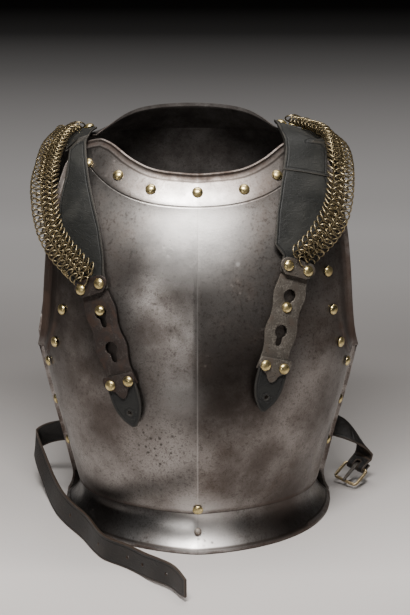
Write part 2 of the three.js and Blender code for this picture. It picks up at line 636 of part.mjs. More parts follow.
// Outer grid of a body plate: its field, border band, turned lips and folded side flanges.
function plateGrid(plate) {
  const field = Array.from({ length: FIELD_CELLS + 1 }, (_, i) => i / FIELD_CELLS);
  const columnCount = lineSteps(field, 0, 0, 0).length;
  const rowCount = lineSteps(ROW_SHARES, 0, 0, 0).length;
  const height = platePoint(plate, 0, 0).distanceTo(platePoint(plate, 0, 1));
  const grid = [];
  for (let r = 0; r < rowCount; r++) {
    const [band, slope] = [NECK_BAND / height, BAND_SLOPE / height];
    const nominal = lineSteps(ROW_SHARES, ARMPIT_RUN, band, slope)[r].share;
    const width = halfLength(plate, nominal);
    const steps = lineSteps(field, 0, ARM_BAND / width, BAND_SLOPE / width);
    const line = [];
    for (let c = 1 - columnCount; c < columnCount; c++) {
      line.push(gridPoint(plate, steps[Math.abs(c)], Math.sign(c), r));
    }
    grid.push(line);
  }
  return grid;
}

// Length of a row of a plate from the ridge to its edge.
function halfLength(plate, v) {
  const pieces = 8;
  const points = Array.from({ length: pieces + 1 }, (_, i) => platePoint(plate, i / pieces, v));
  return points.slice(1).reduce((sum, point, i) => sum + point.distanceTo(points[i]), 0);
}

function gridPoint(plate, across, sign, r) {
  const u = across.share * sign;
  const height = platePoint(plate, u, 0).distanceTo(platePoint(plate, u, 1));
  const band = mix(NECK_BAND, ARM_BAND, across.share ** 2);
  const upward = lineSteps(ROW_SHARES, ARMPIT_RUN, band / height, BAND_SLOPE / height)[r];
  const v = upward.share;
  const { fold, band: sideBand } = sample(plate.outline.side, "run", v);
  const step = Math.max(upward.proud, across.proud * THREE.MathUtils.clamp(sideBand, 0, 1));
  const normal = plateNormal(plate, u, v);
  const point = platePoint(plate, u, v).addScaledVector(normal, step * BAND_STEP);
  const corner = upward.lip && across.lip ? Math.SQRT1_2 : 1;
  let lift = 0;
  if (upward.lip) {
    const { reach, rise } = LIP_TURN[upward.lip - 1];
    const turned = 1 - 0.85 * THREE.MathUtils.smoothstep(across.share, plate.lipped, plate.lipped + 0.15);
    point.addScaledVector(pastEdge(plate, u, v, "u"), reach * NECK_LIP * corner * turned);
    lift = rise * NECK_LIP * turned;
  }
  if (across.lip) {
    const { reach, rise } = LIP_TURN[across.lip - 1];
    const folded = THREE.MathUtils.clamp(fold, 0, 1);
    const past = reach * mix(ARM_LIP, SIDE_TURN, folded) * corner;
    point.addScaledVector(pastEdge(plate, u, v, "v"), past);
    lift = Math.max(lift, rise * mix(ARM_LIP, SIDE_LIP, folded) * corner);
  }
  point.addScaledVector(normal, lift);
  const joint = PLATE_GAP / 2 + plate.wall; // the turned edge bears flat on the other plate
  return point.setY(plate.facing * Math.max(joint, plate.facing * point.y));
}

// Unit vector in the surface, square to the plate's edge and pointing past it. along: which
// blend value runs along that edge.
function pastEdge(plate, u, v, along) {
  const step = 0.015;
  const far = along === "u" ? [Math.min(1, u + step), v] : [u, Math.min(1, v + step)];
  const near = along === "u" ? [Math.max(-1, u - step), v] : [u, Math.max(0, v - step)];
  const edge = platePoint(plate, ...far).sub(platePoint(plate, ...near));
  const past = plateNormal(plate, u, v).cross(edge).normalize();
  const inward = along === "u" ? [u, v - 0.05] : [u * 0.95, v];
  const outward = platePoint(plate, u, v).sub(platePoint(plate, ...inward));
  return past.multiplyScalar(Math.sign(past.dot(outward)) || 1);
}

// Level direction square to a plate's waist at u.
function levelNormal(plate, u) {
  return plateNormal(plate, u, 0).setZ(0).normalize();
}

// Grid of the waist flange in front: up its hollow sweep, then inside the breastplate's edge.
function flangeGrid() {
  const behind = BREAST_WALL + TUCK_GAP;
  const at = (u, v) => platePoint(BREAST, u, v).addScaledVector(plateNormal(BREAST, u, v), -behind);
  const body = platePoint(BREAST, 0, 0).distanceTo(platePoint(BREAST, 0, 1));
  const columns = Array.from({ length: FLANGE_CELLS + 1 }, (_, i) => (2 * i) / FLANGE_CELLS - 1);
  return [
    ...FLARE_SECTIONS.map(({ up, out }) => columns.map((u) => {
      const point = at(u, 0).addScaledVector(levelNormal(BREAST, u), out * FLARE);
      return point.setZ(platePoint(BREAST, u, 0).z * up);
    })),
    columns.map((u) => at(u, 0)),
    columns.map((u) => at(u, TUCK / body)),
  ];
}

// Rows of the backplate's own flare, below its waist row.
function skirtRows(plate, waistRow) {
  const middle = (waistRow.length - 1) / 2;
  const field = middle - LIP_CELLS;
  return FLARE_SECTIONS.map(({ up, out }) => waistRow.map((point, c) => {
    const u = THREE.MathUtils.clamp((c - middle) / field, -1, 1);
    const side = Math.sign(u) * Math.max(0, Math.abs(u) - 1 / field) ** 2;
    const normal = levelNormal(plate, side);
    return point.clone().addScaledVector(normal, out * BACK_FLARE).setZ(point.z * up);
  }));
}

// Height of a plate's outer face over a place near its shoulders.
function heightOver(plate, x, y) {
  let low = SHOULDER_FROM;
  let high = 1;
  for (let i = 0; i < 30; i++) {
    const middle = (low + high) / 2;
    const s = sectionOf(plate, middle);
    const deep = Math.max(0, plate.facing * y - plate.seat) / s.deep;
    const filled = (Math.abs(x - s.lean) / s.wide) ** s.full + deep ** s.full;
    if (filled < 1) low = middle;
    else high = middle;
  }
  return sectionOf(plate, (low + high) / 2).z;
}

// A flat or bent strip between two heights over its stations. Each station gives a point for a
// share of its width (-1 to 1) and a height, and the half width of a hole as such a share.
function stripGeometry(stations, low, high) {
  const points = [];
  const triangles = [];
  const places = (station) => [-1, -station.hole, station.hole, 1];
  for (const station of stations) {
    for (const height of [low, high]) {
      for (const share of places(station)) points.push(station.point(share, height));
    }
  }
  const quad = (a, b, c, d) => triangles.push([a, b, c], [a, c, d]);
  const id = (i, level, column) => i * 8 + level * 4 + column;
  for (let i = 0; i < stations.length - 1; i++) {
    const wall = (c, turned) => {
      const ring = [id(i, 0, c), id(i + 1, 0, c), id(i + 1, 1, c), id(i, 1, c)];
      quad(...(turned ? ring.reverse() : ring));
    };
    for (const c of [0, 2]) {
      quad(id(i, 1, c), id(i, 1, c + 1), id(i + 1, 1, c + 1), id(i + 1, 1, c));
      quad(id(i, 0, c + 1), id(i, 0, c), id(i + 1, 0, c), id(i + 1, 0, c + 1));
    }
    wall(0, true);
    wall(3, false);
    if (stations[i].hole || stations[i + 1].hole) {
      wall(1, false);
      wall(2, true);
    }
  }
  for (const [i, turned] of [[0, false], [stations.length - 1, true]]) {
    for (const c of [0, 2]) {
      const ring = [id(i, 0, c), id(i, 0, c + 1), id(i, 1, c + 1), id(i, 1, c)];
      quad(...(turned ? ring.reverse() : ring));
    }
  }
  const same = (from, to) => points[from].equals(points[to]);
  const apart = ([a, b, c]) => !same(a, b) && !same(b, c) && !same(c, a);
  return closedGeometry(points, triangles.filter(apart));
}

// Measured line over the chest through two places: frame at a distance from the first.
function chestLine(from, to, side) {
  const places = Array.from({ length: 61 }, (_, i) => -0.8 + i * 0.04);
  const at = (t) => facePoint(
    BREAST,
    side * HALF_WIDTH * mix(from.out, to.out, t),
    WAIST_HEIGHT + BODY_HEIGHT * mix(from.up, to.up, t),
    0,
  );
  const distances = [0];
  const frames = places.map(at);
  for (let i = 1; i < frames.length; i++) {
    distances.push(distances[i - 1] + frames[i].point.distanceTo(frames[i - 1].point));
  }
  const start = distances[places.findIndex((t) => Math.abs(t) < 1e-6)];
  return (distance) => {
    const goal = THREE.MathUtils.clamp(start + distance, 0, distances.at(-1) - 1e-3);
    const i = distances.findIndex((d) => d > goal);
    const t = (goal - distances[i - 1]) / (distances[i] - distances[i - 1]);
    const centre = frames[i - 1].point.clone().lerp(frames[i].point, t);
    const normal = frames[i - 1].normal.clone().lerp(frames[i].normal, t).normalize();
    const down = frames[i].point.clone().sub(frames[i - 1].point).normalize();
    const across = normal.clone().cross(down).normalize();
    return { centre, normal, across };
  };
}

// Half width of the keyholes at a distance along the keyhole plate.
function keyholeHalf(along) {
  const slot = KEYHOLE_SLOT / 2;
  for (const first of [KEYHOLE_FIRST, KEYHOLE_FIRST + KEYHOLE_PITCH]) {
    const d = along - first;
    const round = Math.abs(d) < KEYHOLE ? Math.sqrt(KEYHOLE ** 2 - d ** 2) : 0;
    const end = d - (KEYHOLE_RUN - slot);
    let run = 0;
    if (d > 0 && end <= 0) run = slot;
    else if (end > 0 && end < slot) run = Math.sqrt(slot ** 2 - end ** 2);
    if (round || run) return Math.max(round, run);
  }
  return 0;
}

function keyholeStops() {
  const slot = KEYHOLE_SLOT / 2;
  const neck = Math.sqrt(KEYHOLE ** 2 - slot ** 2);
  const stops = [-KEYHOLE, -KEYHOLE * 0.87, -KEYHOLE / 2, 0, KEYHOLE / 2, neck];
  const slotEnd = KEYHOLE_RUN - slot;
  stops.push(slotEnd, slotEnd + slot / 2, slotEnd + slot * 0.87, KEYHOLE_RUN);
  return [0, KEYHOLE_PITCH].flatMap((pitch) => stops.map((stop) => KEYHOLE_FIRST + pitch + stop));
}

// Stations of a strap-end piece on its line. start: distance of its first station from the clip.
function pieceStations(line, outline, start, length, width, holeAt = () => 0, stops = []) {
  const even = Array.from({ length: STRIP_CELLS + 1 }, (_, i) => (length * i) / STRIP_CELLS);
  const clear = even.filter((d) => stops.every((stop) => Math.abs(stop - start - d) > 1));
  const all = [...clear, ...stops.map((stop) => stop - start)].sort((a, b) => a - b);
  return all.map((d) => {
    const half = (sample(outline, "along", d / length).half * width) / 2;
    const frame = line(start + d);
    const hole = holeAt(start + d);
    return flatStation(frame.centre, frame.across, frame.normal, half, hole > MIN_HOLE ? hole : 0);
  });
}

function domeGeometry(radius, post = 0, postRadius = STUD_POST) {
  const arc = Array.from({ length: 4 }, (_, i) => {
    const turn = (i * Math.PI) / 6;
    return new THREE.Vector2(radius * Math.cos(turn), post + radius * DOME * Math.sin(turn));
  });
  arc[3].x = 0;
  const foot = post ? [new THREE.Vector2(postRadius, 0), new THREE.Vector2(postRadius, post)] : [];
  const profile = [new THREE.Vector2(0, 0), ...foot, ...arc];
  const geometry = new THREE.LatheGeometry(profile, DOME_SIDES);
  return geometry.rotateX(Math.PI / 2);
}

// Station of a shoulder leather from a row of its table. Shares of its width run from the
// wearer's right to left.
function leatherStation(strap, row) {
  const across = (outer, middle, inner) => (share) => {
    const inwards = -share * strap.side;
    return inwards > 0 ? mix(middle, inner, inwards) : mix(middle, outer, -inwards);
  };
  const even = (outer, inner) => (outer + inner) / 2;
  const middle = row.middle ?? even(row.outer, row.inner);
  const middleUp = row.middleUp ?? even(row.outerUp, row.innerUp);
  const out = across(row.outer, middle, row.inner);
  const up = across(row.outerUp, middleUp, row.innerUp);
  const x = (share) => strap.side * HALF_WIDTH * out(share);
  const level = (share) => WAIST_HEIGHT + BODY_HEIGHT * up(share);
  const y = row.ahead * FRONT_DEPTH;
  const points = {
    chest: (share, height) => facePoint(BREAST, x(share), level(share), row.lift + height).point,
    air: (share, height) => vec(x(share), y, level(share) + height),
    back: (share, height) => vec(x(share), y, heightOver(BACK, x(share), y) + row.lift + height),
  };
  return { hole: 0, point: points[row.on] };
}

// Station of a flat strip from its middle, its direction across and the way it faces.
function flatStation(centre, across, normal, half, hole = 0) {
  return {
    hole: hole / half,
    point: (share, height) => centre.clone()
      .addScaledVector(across, share * half)
      .addScaledVector(normal, height),
  };
}

// Stations of a strip whose middles and directions across are given, facing away from inside.
function bandStations(rows, half, inside) {
  return rows.map(({ centre, across }, i) => {
    const before = rows[Math.max(0, i - 1)].centre;
    const after = rows[Math.min(rows.length - 1, i + 1)].centre;
    const normal = after.clone().sub(before).cross(across).normalize();
    normal.multiplyScalar(Math.sign(normal.dot(centre.clone().sub(inside))) || 1);
    return flatStation(centre, across, normal, half);
  });
}

// A closed loop of like rings.
function loopGeometry(rings) {
  const sides = rings[0].length;
  const points = rings.flat();
  const triangles = [];
  for (let r = 0; r < rings.length; r++) {
    const next = (r + 1) % rings.length;
    for (let k = 0; k < sides; k++) {
      const turn = (k + 1) % sides;
      const [a, b] = [r * sides + k, r * sides + turn];
      const [c, d] = [next * sides + turn, next * sides + k];
      triangles.push([a, b, c], [a, c, d]);
    }
  }
  return closedGeometry(points, triangles);
}

function placeAt(out, ahead, up) {
  return vec(out * HALF_WIDTH, ahead * FRONT_DEPTH, WAIST_HEIGHT + up * BODY_HEIGHT);
}

// Stations of the long belt off the plate, standing on its lower edge along the ground.
function longBeltStations(before) {
  const rows = LONG_BELT.map((row) => ({
    low: vec(-row.out * HALF_WIDTH, row.ahead * FRONT_DEPTH, row.low * BELT_WIDTH),
    high: vec(-row.outOver * HALF_WIDTH, row.aheadOver * FRONT_DEPTH, row.high * BELT_WIDTH),
  }));
  const middles = rows.map(({ low, high }) => low.clone().lerp(high, 0.5));
  return rows.map(({ low, high }, i) => {
    const along = middles[Math.min(rows.length - 1, i + 1)].clone().sub(middles[i - 1] ?? before);
    const normal = high.clone().sub(low).cross(along).normalize();
    return {
      hole: 0,
      point: (share, height) => {
        const point = low.clone().lerp(high, (share + 1) / 2).addScaledVector(normal, height);
        return point.setZ(Math.max(0, point.z));
      },
    };
  });
}

// Frame of the buckle's heel bar: across it, out along the frame, and up off the frame.
const BAR_MIDDLE = vec(
  BUCKLE_PLACE.out * HALF_WIDTH,
  BUCKLE_PLACE.ahead * FRONT_DEPTH,
  BUCKLE_PLACE.level * BELT_WIDTH,
);
const FRAME_UP = FRAME_LINE.clone().cross(BAR_LINE).normalize();
const byBar = (along, out, up) => BAR_MIDDLE.clone()
  .addScaledVector(BAR_LINE, along)
  .addScaledVector(FRAME_LINE, out)
  .addScaledVector(FRAME_UP, up);

// Stations that run round the heel bar at a radius, from one turn to another. Turn 0 is on top.
function barTurn(radius, from, to, steps, half, hole) {
  return Array.from({ length: steps + 1 }, (_, i) => {
    const turn = mix(from, to, i / steps);
    const normal = byBar(0, Math.sin(turn), Math.cos(turn)).sub(BAR_MIDDLE);
    const centre = BAR_MIDDLE.clone().addScaledVector(normal, radius);
    return flatStation(centre, BAR_LINE, normal, half, hole);
  });
}

// Stations of the short belt off the plate: down to the buckle and round its heel bar.
function shortBeltStations(before) {
  const rows = SHORT_BELT.map((row) => ({
    centre: vec(row.out * HALF_WIDTH, row.ahead * FRONT_DEPTH, row.level * BELT_WIDTH),
    across: vec(row.side, -row.front, -row.down).normalize(),
  }));
  const radius = BUCKLE_BAR + LOOP_GAP + BELT_WALL / 2;
  const entry = byBar(0, -LOOP_WIDTH / 3, radius);
  const points = [before, ...rows.map(({ centre }) => centre), entry];
  const stations = rows.map(({ centre, across }, i) => {
    const along = points[i + 2].clone().sub(points[i]);
    const half = mix(BELT_WIDTH, LOOP_WIDTH, (i / rows.length) ** 2) / 2;
    return flatStation(centre, across.negate(), across.clone().cross(along).normalize(), half);
  });
  const slot = (TONGUE_WIDTH + 2 * LOOP_GAP) / 2;
  const half = LOOP_WIDTH / 2;
  const turned = (station) => ({
    hole: station.hole,
    point: (share, height) => station.point(-share, height),
  });
  const below = FRAME_UP.clone().negate();
  const under = (centre, open) => turned(flatStation(centre, BAR_LINE, below, half, open));
  return [
    ...stations,
    turned(flatStation(entry, BAR_LINE, FRAME_UP, half)),
    turned(flatStation(byBar(0, -BUCKLE_BAR - TONGUE_WALL - 2, radius), BAR_LINE, FRAME_UP, half)),
    turned(flatStation(byBar(0, -BUCKLE_BAR - TONGUE_WALL - 1, radius), BAR_LINE, FRAME_UP, half, slot)),
    ...barTurn(radius, 0, Math.PI, 6, half, slot).map(turned),
    under(byBar(0, -BUCKLE_BAR - TONGUE_WALL - 1, -radius), slot),
    under(byBar(0, -BUCKLE_BAR - TONGUE_WALL - 2, -radius)),
    under(byBar(0, -LOOP_WIDTH / 2, -radius)),
  ];
}

// Rings of the buckle's frame: a rounded rectangle of round bar, the heel bar on its near side.
function frameRings() {
  const wide = BUCKLE_WIDTH / 2 - BUCKLE_BAR;
  const long = BUCKLE_LENGTH - 2 * BUCKLE_BAR;
  const corners = [[wide, 0, 0, -1], [wide, long, 1, 0], [-wide, long, 0, 1], [-wide, 0, -1, 0]];
  const rings = [];
  for (const [x, y, dx, dy] of corners) {
    const turnX = x - Math.sign(x) * BUCKLE_CORNER;
    const turnY = y ? y - BUCKLE_CORNER : BUCKLE_CORNER;
    for (let i = 0; i <= CORNER_CELLS; i++) {
      const turn = Math.atan2(dy, dx) + (i / CORNER_CELLS) * (Math.PI / 2);
      const [outX, outY] = [Math.cos(turn), Math.sin(turn)];
      const centre = [turnX + outX * BUCKLE_CORNER, turnY + outY * BUCKLE_CORNER];
      rings.push(Array.from({ length: BAR_SIDES }, (_, k) => {
        const angle = ((k + 0.5) / BAR_SIDES) * 2 * Math.PI;
        const out = BUCKLE_BAR * Math.cos(angle);
        return byBar(centre[0] + outX * out, centre[1] + outY * out, BUCKLE_BAR * Math.sin(angle));
      }));
    }
  }
  return rings;
}

// Stations of the tongue: coiled round the heel bar, then out to rest on the far bar.
function tongueStations() {
  const half = TONGUE_WIDTH / 2;
  const radius = BUCKLE_BAR + LOOP_GAP + TONGUE_WALL / 2;
  const rest = BUCKLE_BAR + SEAT + TONGUE_WALL / 2;
  const far = BUCKLE_LENGTH - 2 * BUCKLE_BAR;
  const reach = [
    { out: far * 0.3, up: radius, half: half * 0.95 },
    { out: far - BUCKLE_BAR, up: rest, half: half * 0.8 },
    { out: far + BUCKLE_BAR, up: rest, half: half * 0.6 },
  ];
  return [
    ...barTurn(radius, -1.6 * Math.PI, 0, 9, half),
    ...reach.map((row) => flatStation(byBar(0, row.out, row.up), BAR_LINE, FRAME_UP, row.half)),
  ];
}

const cuirass = new THREE.Group();

function place(name, geometry, material, parent = cuirass) {
  const mesh = new THREE.Mesh(geometry, material.clone());
  mesh.name = name;
  parent.add(mesh);
  return mesh;
}

function placeOn(name, geometry, material, { point, normal }) {
  const mesh = place(name, geometry, material);
  mesh.position.copy(point);
  mesh.quaternion.setFromUnitVectors(vec(0, 0, 1), normal);
}

// The plates
const backGrid = plateGrid(BACK);
place("breastplate", wallGeometry(plateGrid(BREAST), BREAST_WALL, BREAST.facing), STEEL);
place("waist_flange", wallGeometry(flangeGrid(), FLANGE_WALL, BREAST.facing), STEEL);
place(
  "backplate",
  wallGeometry([...skirtRows(BACK, backGrid[0]), ...backGrid], BACK_WALL, BACK.facing),
  STEEL,
);

// The rivets of the breastplate
const SIDES = [["right", -1], ["left", 1]];
const chestSpot = ({ out, up }, side, lift) =>
  facePoint(BREAST, side * out * HALF_WIDTH, WAIST_HEIGHT + up * BODY_HEIGHT, lift);
for (const [i, spot] of NECK_RIVETS.entries()) {
  for (const [name, side] of spot.out ? SIDES : [["middle", 1]]) {
    const label = spot.out ? `neck_rivet_${name}_${i}` : "neck_rivet_middle";
    placeOn(label, domeGeometry(RIVET), BRASS, chestSpot(spot, side, BAND_STEP + RIVET_SEAT));
  }
}
for (const [name, side] of SIDES) {
  for (const [i, spot] of ARM_RIVETS.entries()) {
    const seat = chestSpot(spot, side, RIVET_SEAT);
    placeOn(`arm_rivet_${name}_${i + 1}`, domeGeometry(RIVET), BRASS, seat);
  }
  for (const [i, { around, up }] of FLANK_RIVETS.entries()) {
    const at = placeAtHeight(BREAST, up);
    const point = skinPoint(BREAST, side * around, at);
    const normal = plateNormalAt(BREAST, side * around, at);
    point.addScaledVector(normal, RIVET_SEAT);
    placeOn(`flank_rivet_${name}_${i + 1}`, domeGeometry(RIVET), BRASS, { point, normal });
  }
}
const seamUp = SEAM_DROP / BODY_HEIGHT;
const WAIST_RIVET_UP = seamUp + (RIVET + 1.5) / BODY_HEIGHT; // just above the seam
const waistSpot = chestSpot({ out: 0, up: WAIST_RIVET_UP }, 1, RIVET_SEAT);
placeOn("waist_rivet", domeGeometry(RIVET), BRASS, waistSpot);
const flangeMiddle = flangeGrid().map((row) => row[FLANGE_CELLS / 2]);
const FLANGE_RIVET_ROW = 5; // row of the sweep that carries its rivet
const sweep = flangeMiddle[FLANGE_RIVET_ROW + 1].clone().sub(flangeMiddle[FLANGE_RIVET_ROW - 1]);
const flangeOut = sweep.clone().cross(vec(1, 0, 0)).normalize();
flangeOut.multiplyScalar(-Math.sign(flangeOut.y));
placeOn("flange_rivet", domeGeometry(SMALL_RIVET), STEEL, {
  point: flangeMiddle[FLANGE_RIVET_ROW].clone().addScaledVector(flangeOut, FLANGE_RIVET_SEAT),
  normal: flangeOut,
});

// The shoulder straps: leather, chain, clip, keyhole plate, end cap, pull tab and stud
const CLIP_STACK = STUD_RISE + HASP_WALL + SEAT; // underside of the leather's end and pull tab
for (const strap of STRAPS) {
  const slide = strap.inSlot ? KEYHOLE_RUN - KEYHOLE_SLOT / 2 : -STUD_OFF;
  const fromStud = chestLine(strap.stud, strap.tip, strap.side);
  const line = (distance) => fromStud(distance - KEYHOLE_FIRST - slide);
  const tag = (piece) => `${strap.name}_${piece}`;
  const hasp = pieceStations(line, HASP_OUTLINE, 0, HASP_LENGTH, HASP_WIDTH, keyholeHalf, keyholeStops());
  place(tag("keyhole_plate"), stripGeometry(hasp, STUD_RISE, STUD_RISE + HASP_WALL), IRON);
  const tabStart = CAP_START;
  const tabLength = HASP_LENGTH + TAB_REACH - tabStart;
  const tabHole = HASP_LENGTH + TAB_REACH - 16;
  const holeAt = (d) => Math.sqrt(Math.max(0, TAB_HOLE ** 2 - (d - tabHole) ** 2));
  const stops = [-1, -0.5, 0.5, 1].map((share) => tabHole + share * TAB_HOLE);
  const tab = pieceStations(line, TAB_OUTLINE, tabStart, tabLength, TAB_WIDTH, holeAt, stops);
  place(tag("pull_tab"), stripGeometry(tab, CLIP_STACK, CLIP_STACK + TAB_WALL), HIDE);
  const capLow = CLIP_STACK + TAB_WALL + SEAT;
  const cap = pieceStations(line, CAP_OUTLINE, CAP_START, CAP_LENGTH, HASP_WIDTH);
  place(tag("end_cap"), stripGeometry(cap, capLow, capLow + CAP_WALL), IRON);
  const clipLow = CLIP_STACK + LEATHER + SEAT;
  const clip = pieceStations(line, CLIP_OUTLINE, -CLIP_LENGTH / 2, CLIP_LENGTH, HASP_WIDTH);
  place(tag("clip"), stripGeometry(clip, clipLow, clipLow + CLIP_WALL), IRON);
  const rivetAt = (name, distance, offset, height) => {
    const frame = line(distance);
    const point = frame.centre.clone()
      .addScaledVector(frame.across, offset)
      .addScaledVector(frame.normal, height + SEAT);
    placeOn(tag(name), domeGeometry(RIVET), BRASS, { point, normal: frame.normal });
  };
  for (const [i, sign] of [-1, 1].entries()) {
    rivetAt(`clip_rivet_${i + 1}`, 0, sign * CLIP_RIVETS, clipLow + CLIP_WALL);
    rivetAt(`cap_rivet_${i + 1}`, CAP_START + 9, sign * CAP_RIVETS, capLow + CAP_WALL);
  }
  const stud = fromStud(0);
  const studPoint = stud.centre.clone().addScaledVector(stud.normal, SEAT);
  const studDome = domeGeometry(RIVET, STUD_RISE + HASP_WALL);
  placeOn(tag("stud"), studDome, BRASS, { point: studPoint, normal: stud.normal });

  const end = [CLIP_LENGTH * 0.4, 0, -CLIP_LENGTH / 2].map((distance) => {
    const frame = line(distance);
    const centre = frame.centre.clone().addScaledVector(frame.normal, CLIP_STACK);
    return flatStation(centre, frame.across, frame.normal, HASP_WIDTH / 2);
  });
  const run = LEATHER_RUNS[strap.name].map((row) => leatherStation(strap, row));
  place(tag("shoulder_leather"), stripGeometry([...end, ...run], 0, LEATHER), HIDE);

  const foot = line(-CLIP_LENGTH / 2 - 2);
  const chainRise = clipLow + CHAIN_CLEAR + CHAIN_THICK / 2;
  const chainFoot = {
    centre: foot.centre.clone().addScaledVector(foot.normal, chainRise),
    across: foot.across.clone().multiplyScalar(-strap.side * Math.sign(foot.across.x)),
  };
  const chainRows = CHAIN_RUNS[strap.name].map((row) => ({
    centre: placeAt(strap.side * row.out, row.ahead, row.up),
    across: vec(strap.side * row.side, row.back, -row.down).normalize(),
  }));
  chainFoot.across.multiplyScalar(Math.sign(chainFoot.across.dot(chainRows[0].across)));
  const inside = vec(0, 0, WAIST_HEIGHT + BODY_HEIGHT / 2);
  const band = bandStations([chainFoot, ...chainRows], CHAIN_WIDTH / 2, inside);
  place(tag("chain_band"), stripGeometry(band, -CHAIN_THICK / 2, CHAIN_THICK / 2), BRASS);

  const topOf = (station, share) => station.point(0, LEATHER)
    .lerp(station.point(Math.sign(share), LEATHER), Math.abs(share));
  for (const [i, { share, rise = 0 }] of SHOULDER_RIVETS[strap.name].entries()) {
    const turned = share * strap.side;
    const along = topOf(run.at(-1), turned).sub(topOf(run.at(-3), turned));
    const edges = [topOf(run.at(-2), Math.sign(turned)), topOf(run.at(-2), 0)];
    const across = edges[0].sub(edges[1]).multiplyScalar(Math.sign(turned));
    const normal = across.cross(along).normalize();
    const seat = SHOULDER_RIVET_SEAT + rise;
    const point = topOf(run.at(-2), turned).addScaledVector(normal, seat);
    placeOn(tag(`shoulder_rivet_${i + 1}`), domeGeometry(RIVET), BRASS, { point, normal });
  }
}

// The waist belt in its two lengths, and the open buckle
for (const [name, side] of SIDES) {
  const seats = BELT_SEATS.map(({ around }) => {
    const edge = (up, height) => {
      const at = placeAtHeight(BACK, up);
      const normal = plateNormalAt(BACK, side * around, at);
      return skinPoint(BACK, side * around, at).addScaledVector(normal, BELT_LIFT + height);
    };
    const top = BELT_LEVEL + BELT_WIDTH / BODY_HEIGHT;
    return {
      hole: 0,
      point: (share, height) => edge(mix(BELT_LEVEL, top, (share + 1) / 2), height + BELT_WALL / 2),
      middle: edge((BELT_LEVEL + top) / 2, BELT_WALL / 2),
    };
  });
  const rest = side < 0 ? longBeltStations(seats.at(-1).middle) : shortBeltStations(seats.at(-1).middle);
  const belt = side < 0 ? "long_belt" : "short_belt";
  place(belt, stripGeometry([...seats, ...rest], -BELT_WALL / 2, BELT_WALL / 2), HIDE);
  const at = placeAtHeight(BACK, BELT_LEVEL + BELT_WIDTH / BODY_HEIGHT / 2);
  const around = side * BELT_SEATS[1].around;
  const normal = plateNormalAt(BACK, around, at);
  const point = skinPoint(BACK, around, at).addScaledVector(normal, BELT_LIFT + BELT_WALL + RIVET_SEAT);
  placeOn(`${name}_belt_rivet`, domeGeometry(SMALL_RIVET), STEEL, { point, normal });
}
place("buckle_frame", loopGeometry(frameRings()), BRASS);
place("buckle_tongue", stripGeometry(tongueStations(), -TONGUE_WALL / 2, TONGUE_WALL / 2), IRON);

// The part's origin is the middle of its own bounding box, on the ground
const box = new THREE.Box3().setFromObject(cuirass);
cuirass.position.set(-(box.min.x + box.max.x) / 2, -(box.min.y + box.max.y) / 2, -box.min.z);

export default cuirass;
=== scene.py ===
"""Cuirass of steel plates with chain-covered shoulder straps and an open waist belt."""

import logging
import math
import random
from dataclasses import dataclass, field
from enum import Enum
from functools import partial, reduce
from typing import Callable, Sequence

import bpy
from mathutils import Matrix, Vector
from mathutils.kdtree import KDTree


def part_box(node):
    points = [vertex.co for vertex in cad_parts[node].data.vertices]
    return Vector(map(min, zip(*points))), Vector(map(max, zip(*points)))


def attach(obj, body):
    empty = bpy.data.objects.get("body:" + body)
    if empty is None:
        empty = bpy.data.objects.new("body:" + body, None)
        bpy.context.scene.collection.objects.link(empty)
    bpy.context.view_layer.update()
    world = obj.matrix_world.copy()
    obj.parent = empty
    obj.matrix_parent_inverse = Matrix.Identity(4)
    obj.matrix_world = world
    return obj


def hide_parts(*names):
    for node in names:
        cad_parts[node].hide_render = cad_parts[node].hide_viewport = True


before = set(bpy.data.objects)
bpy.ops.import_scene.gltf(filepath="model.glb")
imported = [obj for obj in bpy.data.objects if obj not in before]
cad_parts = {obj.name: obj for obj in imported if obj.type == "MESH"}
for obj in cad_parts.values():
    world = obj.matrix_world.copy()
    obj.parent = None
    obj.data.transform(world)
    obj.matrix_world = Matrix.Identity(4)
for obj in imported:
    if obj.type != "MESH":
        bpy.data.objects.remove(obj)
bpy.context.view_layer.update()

LOG = logging.getLogger("cuirass")
MM = 0.001
ROW_SHIFT = Vector((-0.0060004, 0.0711226, 0.0))
TORSO_MIDDLE = Vector((-0.006, 0.0711, 0.25))
MERGE_GAP = 0.00002
QUAD_TURN = math.radians(30)
QUAD_SHAPE = math.radians(50)
RIM_STEP = 0.001
RIM_REACH = 0.03
INWARD_SHARE = 0.12


def placed(x: float, y: float, z: float) -> Vector:
    """A point in metres in this frame, given in millimetres from the ridge and the side joint."""
    return Vector((x, y, z)) * MM + ROW_SHIFT


class Side(Enum):
    """The wearer's side that a strap or belt is on."""

    RIGHT = "right"
    LEFT = "left"


# Shader writing

